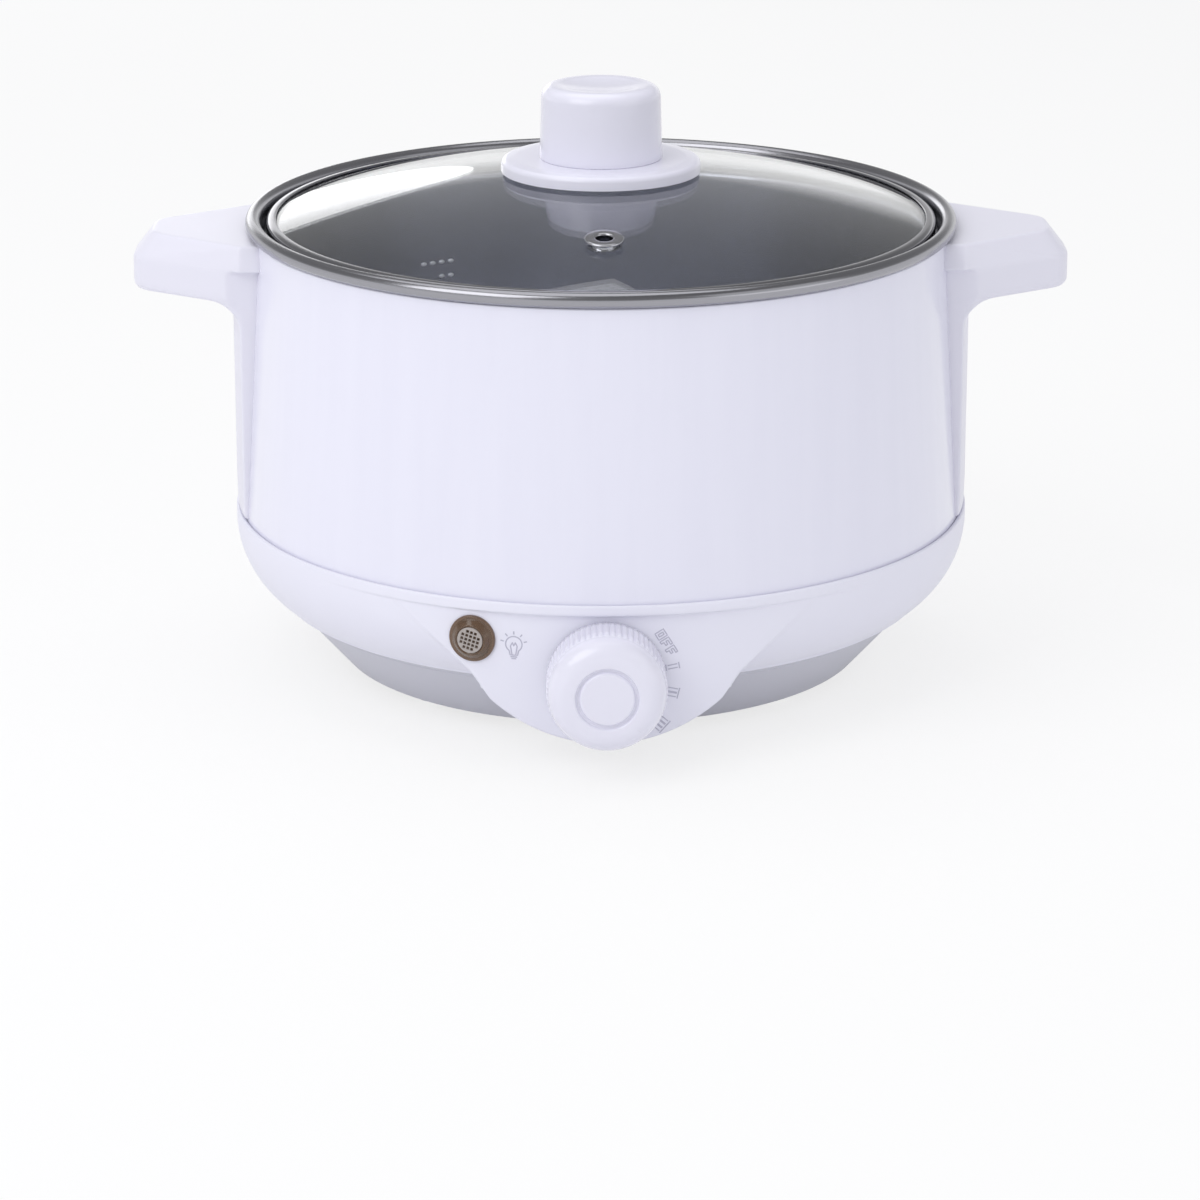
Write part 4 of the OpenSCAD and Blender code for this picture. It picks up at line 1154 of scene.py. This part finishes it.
@dataclass
class Marks:
    """Printed marks on the panel: the dial's positions and the lamp's sign.

    Attributes:
        words: Each mark with its angle round the dial and its distance from the axis.
        letter: Width, height and stem of the block letters.
        numeral: Pitch, height and stem of the numerals' bars.
        sign: Place along X and Z of the bulb sign, and its scale.
        line: Half the width of a printed line.
        proud: How far the print stands on the panel.
    """

    words: tuple[tuple[str, float, float], ...] = (
        ("OFF", 30.9, 18.5), ("I", 8.9, 17.8), ("II", -14.2, 18.0), ("III", -42.2, 19.3),
    )
    letter: Corner = (2.1, 2.6, 0.7)
    numeral: Corner = (1.25, 3.5, 1.0)
    sign: Corner = (-24.5, 32.8, 1.25)
    line: float = 0.18
    proud: float = 0.03

    def build(self, looks: Looks, panel: Panel) -> None:
        """Prints the marks on the panel."""
        knob = knob_place()
        pieces = []
        for word, angle, reach in self.words:
            turn = math.radians(angle)
            spot = Vector((math.cos(turn) * reach, math.sin(turn) * reach))
            lines = self.letters(word) if word == "OFF" else self.bars(len(word))
            pieces += self.printed(lines, Vector((spot.x, knob.z + spot.y)), turn - math.pi / 2, panel)
        pieces += self.printed(self.bulb(), Vector(self.sign[:2]), 0, panel)
        marks = Bench.joined("panel_marks", pieces)
        fit_out(marks, Body.COOKER, "base_white", looks["print_grey"])

    def letters(self, word: str) -> list[list[Point]]:
        """Draws a row of outlined block letters, centred, as chains of points."""
        wide, high, stem = self.letter
        gap, bar, waist = 0.6, 0.23 * high, 0.3 * high
        inner = (stem, bar, wide - stem, high - bar)
        shapes = {
            "O": [[(0, 0), (wide, 0), (wide, high), (0, high), (0, 0)],
                  [inner[:2], (inner[2], inner[1]), inner[2:], (inner[0], inner[3]), inner[:2]]],
            "F": [[(0, 0), (stem, 0), (stem, waist), (0.8 * wide, waist), (0.8 * wide, waist + bar),
                   (stem, waist + bar), (stem, high - bar), (wide, high - bar), (wide, high), (0, high),
                   (0, 0)]],
        }
        total = len(word) * (wide + gap) - gap
        return [
            [(x + i * (wide + gap) - total / 2, y - high / 2) for x, y in chain]
            for i, letter in enumerate(word) for chain in shapes[letter]
        ]

    def bars(self, count: int) -> list[list[Point]]:
        """Draws outlined upright bars with a serif line above and below, centred."""
        pitch, high, stem = self.numeral
        end = high / 2 - 0.45
        total = (count - 1) * pitch + stem
        chains = []
        for i in range(count):
            x = i * pitch - total / 2
            chains += [[(x, -end), (x, end)], [(x + stem, -end), (x + stem, end)]]
        for y in (-high / 2, high / 2):
            chains.append([(-total / 2 - 0.4, y), (total / 2 + 0.4, y)])
        return chains

    def bulb(self) -> list[list[Point]]:
        """Draws a small lamp bulb with rays."""
        middle = (0, 1.1)
        glass = arc(middle, 1.75, -55, 235, 20)
        chains = [[*glass, (-0.8, -1.3), (0.8, -1.3), glass[0]]]
        chains += [[(-0.7, -1.7), (0.7, -1.7)], [(-0.5, -2.1), (0.5, -2.1)]]
        filament = [(-0.4, -1.3), (-0.7, 0.7), (-0.3, 1.5), (0, 0.7)]
        chains.append(filament + [(-x, y) for x, y in reversed(filament[:-1])])
        for angle in (15, 52, 90, 128, 165):
            way = Vector((math.cos(math.radians(angle)), math.sin(math.radians(angle))))
            chains.append([tuple(Vector(middle) + way * reach) for reach in (2.2, 2.9)])
        return [[(x * self.sign[2], y * self.sign[2]) for x, y in chain] for chain in chains]

    def printed(
        self, chains: list[list[Point]], spot: Vector, turn: float, panel: Panel,
    ) -> list[bpy.types.Object]:
        """Lays chains of points on the panel as thin printed lines.

        Args:
            chains: Lines as points across and up, in millimetres.
            spot: Where the drawing's middle goes, along X and Z.
            turn: How far it is turned, in radians.
            panel: The panel that it lies on.

        Returns:
            One thin piece for each line.
        """
        made = []
        spin = Matrix.Rotation(turn, 2)
        for chain in chains:
            places = []
            for start, end in zip(chain, chain[1:]):
                places += [Vector(start).lerp(Vector(end), i / 3) for i in range(3)]
            places = [spot + spin @ place for place in [*places, Vector(chain[-1])]]
            Bench.wire([Vector((p.x, panel.face(p.x), p.y)) for p in places], False)
            bpy.ops.mesh.remove_doubles(threshold=MERGE)
            bpy.ops.object.mode_set(mode="OBJECT")
            line = bpy.context.object
            bpy.ops.object.convert(target="CURVE")
            line.data.bevel_depth = self.line * MM
            line.data.bevel_resolution = 1
            bpy.ops.object.convert(target="MESH")
            for vertex in line.data.vertices:
                face = panel.face(vertex.co.x / MM)
                vertex.co.y = (face - self.proud + (vertex.co.y / MM - face) * 0.25) * MM
            made.append(line)
        return made


@dataclass
class Handles:
    """The two moulded handles, with every edge softened.

    Attributes:
        shell: The shell that they are screwed to.
        grid: Size of the mesh's cells.
        passes: How often the mesh is smoothed.
        press: How far the edges at the shell are pressed into it.
        near: Distance from the shell within which that is done.
    """

    shell: Shell
    grid: float = 0.46
    passes: int = 9
    press: float = 1.0
    near: float = 1.7

    def build(self, looks: Looks) -> None:
        """Makes both handles."""
        for side in ("left", "right"):
            piece = Bench.twin(f"{side}_handle", f"{side}_grip")
            Bench.modify(piece, "REMESH", mode="VOXEL", voxel_size=self.grid * MM, use_smooth_shade=True)
            Bench.modify(piece, "SMOOTH", factor=0.5, iterations=self.passes)
            self.press_on(piece)
            fit_out(piece, Body.COOKER, "handle_white", looks["handle_white"], f"{side}_handle")

    def press_on(self, piece: bpy.types.Object) -> None:
        """Presses the softened edges at the shell into it, so that they meet it without a groove."""
        skin = self.shell.skin()
        for vertex in piece.data.vertices:
            place = vertex.co / MM - POT_AXIS
            spread = math.hypot(place.x, place.y)
            share = min(max(1 - (spread - skin(place.z)) / self.near, 0), 1)
            scale = 1 - self.press * share * share * (3 - 2 * share) / spread
            vertex.co = (POT_AXIS + Vector((place.x * scale, place.y * scale, place.z))) * MM


@dataclass
class Gland:
    """The grey bushing at the back where a mains lead would enter.

    Attributes:
        bore: Radius of its bore.
        stem: Radius of its stem.
        flange: Radius of its flange.
        thick: Thickness of the flange.
        flare: Width of the bore's flare.
    """

    bore: float = 3.6
    stem: float = 6.5
    flange: float = 8.4
    thick: float = 2.0
    flare: float = 1.2

    def build(self, looks: Looks) -> None:
        """Makes the gland."""
        out = mount_place("cord_port")
        low = node_box("cord_gland")[0].y - out.y
        profile = rounded([
            (self.bore, low, 0), (self.stem, low, 0.4), (self.stem, -self.thick, 0),
            (self.flange, -self.thick, 0), (self.flange, 0, 0.7),
            (self.bore + self.flare, 0, 0.4), (self.bore, -self.flare, 0.6),
        ])
        gland = Bench.turned("mains_gland", profile, out, BACK, RIGHT, steps=96)
        fit_out(gland, Body.COOKER, "gland_grey", looks["gland_grey"], "cord_gland")


@dataclass
class ControlKnob:
    """The ribbed knob of the rotary switch.

    Attributes:
        radius: Radius over the ribs.
        height: Height from its back to its face.
        ribbed: Length of the ribbed band.
        ribs: Number of ribs.
        rib: Depth of a rib.
        shoulder: Radius of the round shoulder.
        disc: Radius of the disc in the middle.
        groove: Width and depth of the groove round the disc.
        hollow: Radius and depth of the hollow in its back.
        pointer: Length, width and rise of the pointer.
        pointer_turn: Angle of the pointer at rest, in degrees.
    """

    radius: float = 16
    height: float = 16.8
    ribbed: float = 10.6
    ribs: int = 60
    rib: float = 0.36
    shoulder: float = 5.4
    disc: float = 7.15
    groove: Point = (1.3, 1.0)
    hollow: Point = (13.6, 9)
    pointer: Corner = (4.2, 1.5, 0.55)
    pointer_turn: float = -46

    def build(self, looks: Looks) -> None:
        """Makes the knob."""
        back = Vector((0, node_box("control_knob")[1].y, knob_place().z))
        body = self.radius - self.rib
        ditch, floor = self.disc + self.groove[0], self.height - self.groove[1]
        slope = 0.25
        profile = rounded([
            (0, self.height - 0.12, 0), (self.disc, self.height, 0.75),
            (self.disc + slope, floor, 0.35), (ditch - slope, floor, 0.35),
            (ditch, self.height, 0.55), (body, self.height, self.shoulder), (body, self.ribbed + 0.6, 0.3),
        ], closed=False, steps=9)
        profile += [(body + self.rib * share, self.ribbed + 0.45 - 0.5 * share) for share in (0.4, 0.8, 1)]
        profile += [(self.radius, self.ribbed * share) for share in (0.75, 0.5, 0.25, 0.05)]
        profile += rounded([
            (self.radius - 0.4, 0, 0), (self.hollow[0], 0, 0.2), (self.hollow[0], self.hollow[1], 0.8),
            (0, self.hollow[1], 0),
        ], closed=False)
        knob = Bench.turned("control_dial", profile, back, FRONT, RIGHT, closed=False, steps=self.ribs * 8)
        self.cut_ribs(knob, back, body)
        dial = Bench.joined("control_dial", [self.ridge(back), knob])
        Bench.smooth(dial, 40)
        fit_out(dial, Body.CONTROL, "knob_white", looks["knob_white"], "control_knob")

    def cut_ribs(self, knob: bpy.types.Object, back: Vector, body: float) -> None:
        """Draws the valleys between the ribs in to the body's radius."""
        for vertex in knob.data.vertices:
            place = vertex.co / MM - back
            spread = math.hypot(place.x, place.z)
            if spread <= body + 0.01:
                continue
            wave = 0.5 + 0.5 * math.cos(math.atan2(place.z, place.x) * self.ribs)
            crest = min(1, 1.5 * wave) ** 0.8
            scale = (body + (spread - body) * crest) / spread
            vertex.co.x = (back.x + place.x * scale) * MM
            vertex.co.z = (back.z + place.z * scale) * MM

    def ridge(self, back: Vector) -> bpy.types.Object:
        """Makes the raised pointer on the knob's face."""
        Bench.clear()
        bpy.ops.mesh.primitive_uv_sphere_add(segments=24, ring_count=14, radius=MM)
        bar = bpy.context.object
        length, width, rise = self.pointer
        bar.scale = (length / 2, rise * 1.6, width / 2)
        bpy.ops.object.transform_apply(location=False, rotation=False, scale=True)
        turn = math.radians(self.pointer_turn)
        reach = self.disc + self.groove[0] + 0.3 + length / 2
        bar.rotation_euler = (0, -turn, 0)
        spot = back + Vector((math.cos(turn), 0, math.sin(turn))) * reach + FRONT * (self.height - 0.95)
        bar.location = spot * MM
        bpy.ops.object.transform_apply(location=True, rotation=True, scale=True)
        return bar


@dataclass
class Lid:
    """The domed glass lid with its band, collar, knob and vent.

    Attributes:
        ball: Radius of the dome's outer face.
        glass: Thickness of the glass.
        edge: Radius of the glass.
        hole: Radius of the hole under the knob.
        band: Width and thickness of the steel band.
        collar: Radius of the collar.
        knob: Radii of the knob at its top and foot.
        knob_round: Radius of the knob's shoulder.
        dish: Radius and depth of the hollow in the knob's top.
        vent: Distance of the vent from the middle.
        eyelet: Radius of the eyelet's flange and of its tube, outside and inside.
    """

    ball: float = 320
    glass: float = 3.5
    edge: float = 93.5
    hole: float = 4.5
    band: Point = (2.8, 0.6)
    collar: float = 28
    knob: Point = (16.7, 17.2)
    knob_round: float = 3.6
    dish: Point = (11.5, 1.2)
    vent: float = 62
    eyelet: Corner = (5.3, 3.4, 2.3)

    @property
    def centre(self) -> float:
        """Height of the dome's centre, from the glass's lower edge."""
        low = node_box("lid_glass")[0].z
        return low - math.sqrt((self.ball - self.glass) ** 2 - self.edge ** 2)

    def dome(self, radius: float, ball: float) -> float:
        """Gives the height of a ball's face at a distance from the middle."""
        return self.centre + math.sqrt(ball ** 2 - radius ** 2)

    def build(self, looks: Looks) -> None:
        """Makes every piece of the lid."""
        self.build_glass(looks)
        self.build_band(looks)
        self.build_collar(looks)
        self.build_knob(looks)
        self.build_eyelet(looks)

    def build_glass(self, looks: Looks) -> None:
        """Makes the glass with its vent hole."""
        steps = 40
        spread = [self.hole + (self.edge - self.hole) * i / steps for i in range(steps + 1)]
        under = self.ball - self.glass
        profile = [(r, self.dome(r, self.ball)) for r in spread]
        profile += [(r, self.dome(r, under)) for r in reversed(spread)]
        glass = Bench.turned("lid_dome", profile, steps=200)
        out = self.vent_axis()
        Bench.cut(glass, Bench.rod("vent_hole", self.eyelet[1] + 0.1, self.vent_seat(-8), out * 16))
        Bench.smooth(glass, 40)
        fit_out(glass, Body.LID, "lid_glass", looks["lid_glass"], "lid_glass")

    def build_band(self, looks: Looks) -> None:
        """Makes the steel band that is crimped on the glass's edge."""
        low, high = node_box("lid_rim")
        outer = high.x
        width, thick = self.band
        inner = outer - width
        profile = rounded([
            (inner, low.z, 0.2), (outer, low.z, 0.9), (outer, high.z, 1.5), (inner, high.z, 0.25),
            (inner, high.z - thick, 0.2), (outer - thick, high.z - thick, 0.5),
            (outer - thick, low.z + thick, 0.3), (inner, low.z + thick, 0.2),
        ])
        band = Bench.turned("lid_band", profile, steps=240)
        # The band wears the darker steel copy: painted shade.
        fit_out(band, Body.LID, "rim_steel", looks["shaded_band_steel"], "lid_rim")

    def build_collar(self, looks: Looks) -> None:
        """Makes the collar under the knob."""
        high = node_box("lid_collar")[1].z
        radius = self.collar
        gap = 0.75
        steps = 8
        screw = 2.3
        profile = rounded([
            (radius, self.dome(radius, self.ball + gap), 0), (radius, high - 0.3, 1.5), (radius - 4, high, 3),
            (screw, high, 0),
        ], closed=False)
        spread = [screw + (radius - screw) * i / steps for i in range(steps)]
        profile += [(r, self.dome(r, self.ball + gap)) for r in spread]
        collar = Bench.turned("knob_collar", profile, steps=144)
        fit_out(collar, Body.LID, "knob_white", looks["knob_white"], "lid_collar")

    def build_knob(self, looks: Looks) -> None:
        """Makes the knob with its dished top."""
        low, high = node_box("lid_knob")
        top, foot = self.knob
        reach, deep = self.dish
        bowl = (reach * reach + deep * deep) / (2 * deep)
        wall, roof = 2.8, 4.0
        profile = [(0, high.z - deep)]
        profile += [(reach * share, high.z - deep + bowl - math.sqrt(bowl ** 2 - (reach * share) ** 2))
                    for share in (0.25, 0.5, 0.75, 0.92)]
        profile += rounded([
            (reach * 0.96, high.z - 0.06, 0), (top, high.z, self.knob_round), (foot, low.z, 0.25),
            (foot - wall, low.z, 0.2), (top - wall, high.z - roof, 1.5), (0, high.z - roof, 0),
        ], closed=False, steps=10)
        knob = Bench.turned("lid_grip", profile, closed=False, steps=144)
        fit_out(knob, Body.LID, "knob_white", looks["knob_white"], "lid_knob")

    def vent_axis(self) -> Vector:
        """Gives the direction out of the glass at the vent."""
        lean = math.asin(self.vent / self.ball)
        return Vector((0, -math.sin(lean), math.cos(lean)))

    def vent_seat(self, out: float) -> Vector:
        """Gives a point on the vent's axis, some way above the glass."""
        return POT_AXIS + UP * self.centre + self.vent_axis() * (self.ball + out)

    def build_eyelet(self, looks: Looks) -> None:
        """Makes the steel eyelet of the vent."""
        flange, tube, bore = self.eyelet
        top, clear, curl = 0.75, 0.05, 0.6
        under = -self.glass - 0.1
        profile = rounded([
            (bore, top, 0.5), (flange, top, 0.45), (flange, clear, 0.1), (tube, clear, 0),
            (tube, under, 0), (flange - curl, under, 0.1), (flange - curl, under - curl, 0.3),
            (bore, under - curl, 0.4),
        ])
        eyelet = Bench.turned("steam_eyelet", profile, self.vent_seat(0), self.vent_axis(), RIGHT, steps=72)
        fit_out(eyelet, Body.LID, "rim_steel", looks["rim_steel"], "vent_eyelet")


@dataclass
class Studio:
    """Floor, light and camera.

    Attributes:
        target: Point that the camera looks at.
        distance: Distance of the camera from it.
        rise: Angle of the camera above level, in degrees.
        side: Angle of the camera towards the left, in degrees.
        lens: Focal length on the sensor.
        sensor: Width of the sensor.
        shift: Shift of the picture across and up.
        floor: Side of the floor.
        glow: Share of plain white in the floor as it is seen.
        room: Strength of the room light.
    """

    target: Corner = (0, AXIS_Y, 73)
    distance: float = 1200
    rise: float = 15.5
    side: float = 0.8
    lens: float = 126.12
    sensor: float = 36
    shift: Point = (-0.00083, -0.165)
    floor: float = 8000
    glow: float = 0.75
    room: float = 0.67

    def build(self) -> None:
        """Sets the whole studio."""
        bpy.context.scene.view_settings.view_transform = "Standard"
        self.build_camera()
        self.build_floor()
        self.build_world()
        self.build_lamps()

    def build_camera(self) -> None:
        """Adds the camera at the photograph's angle."""
        rise, side = math.radians(self.rise), math.radians(self.side)
        back = Vector((-math.sin(side) * math.cos(rise), -math.cos(side) * math.cos(rise), math.sin(rise)))
        bpy.ops.object.camera_add(location=(Vector(self.target) + back * self.distance) * MM)
        camera = bpy.context.object
        camera.rotation_euler = back.to_track_quat("Z", "Y").to_euler()
        camera.data.sensor_width = self.sensor
        camera.data.lens = self.lens
        camera.data.shift_x, camera.data.shift_y = self.shift
        camera.data.clip_end = 100
        bpy.context.scene.camera = camera

    def build_floor(self) -> None:
        """Lays the pale floor, which shows as white and keeps the object's shadow."""
        Bench.clear()
        bpy.ops.mesh.primitive_plane_add(size=self.floor * MM, location=(0, 0, -0.0002))
        floor = Bench.named("studio_floor")
        look = bpy.data.materials.new("studio_floor")
        tree = Tree(look)
        cloud = tree.noise(tree.place(), 3)
        pale = tree.surface(Base_Color=tree.mixed(cloud, (0.86, 0.86, 0.87), (0.9, 0.9, 0.9)), Roughness=0.9,
                            Specular_IOR_Level=0.1)
        glow = tree.node("ShaderNodeEmission", {}, {"Color": (1, 1, 1, 1), "Strength": 1.0})
        tree.output(tree.node("ShaderNodeMixShader", {}, {0: tree.seen() * self.glow, 1: pale, 2: glow}))
        floor.data.materials.append(look)

    def build_world(self) -> None:
        """Makes a soft room light that shows as a white backdrop under a dim ceiling."""
        world = bpy.data.worlds.new("studio_room")
        bpy.context.scene.world = world
        tree = Tree(world)
        towards = tree.node("ShaderNodeTexCoord", {}, {})
        height = tree.node("ShaderNodeSeparateXYZ", {}, {"Vector": towards}, "Z")
        backdrop = tree.ramp(height, (0.0, 1.0), (0.17, 0.9), (0.26, 0.32), (0.9, 0.25))
        room = tree.node("ShaderNodeBackground", {}, {"Color": (0.96, 0.97, 1.0, 1), "Strength": self.room})
        white = tree.node("ShaderNodeBackground", {}, {"Color": backdrop, "Strength": 1.0})
        mix = tree.node("ShaderNodeMixShader", {}, {0: tree.seen(), 1: room, 2: white})
        tree.output(mix, "ShaderNodeOutputWorld")

    def build_lamps(self) -> None:
        """Hangs the soft lamps."""
        self.lamp("key_lamp", (-750, -700, 950), (900, 900), 5.9)
        self.lamp("fill_lamp", (900, -600, 500), (900, 900), 1.3)
        self.lamp("top_lamp", (-150, 250, 1300), (1100, 1100), 4.0)
        self.lamp("window_lamp", (-420, 1450, 330), (620, 460), 0.85, "ELLIPSE")

    def lamp(self, name: str, place: Corner, size: Point, power: float, shape: str = "RECTANGLE") -> None:
        """Adds one flat lamp that faces the object.

        Args:
            name: Name of the lamp.
            place: Where it hangs, in millimetres.
            size: Its width and height.
            power: Its power in watts.
            shape: Shape of its face.
        """
        spot = Vector(place)
        bpy.ops.object.light_add(type="AREA", location=spot * MM)
        lamp = bpy.context.object
        lamp.name = name
        lamp.rotation_euler = (spot - Vector(self.target)).to_track_quat("Z", "Y").to_euler()
        lamp.data.shape = shape
        lamp.data.size, lamp.data.size_y = size[0] * MM, size[1] * MM
        lamp.data.energy = power


def main() -> None:
    """Builds every piece, dresses the frame and sets the studio."""
    logging.basicConfig(level=logging.INFO, format="%(name)s: %(message)s")
    looks = Looks()
    looks.dress_nodes()
    panel = Panel()
    Pot().build(looks)
    shell = Shell()
    shell.build(looks)
    Base(panel).build(looks)
    Handles(shell).build(looks)
    Gland().build(looks)
    Lamp().build(looks, panel)
    Marks().build(looks, panel)
    ControlKnob().build(looks)
    Lid().build(looks)
    Studio().build()


if __name__ == "__main__":
    main()
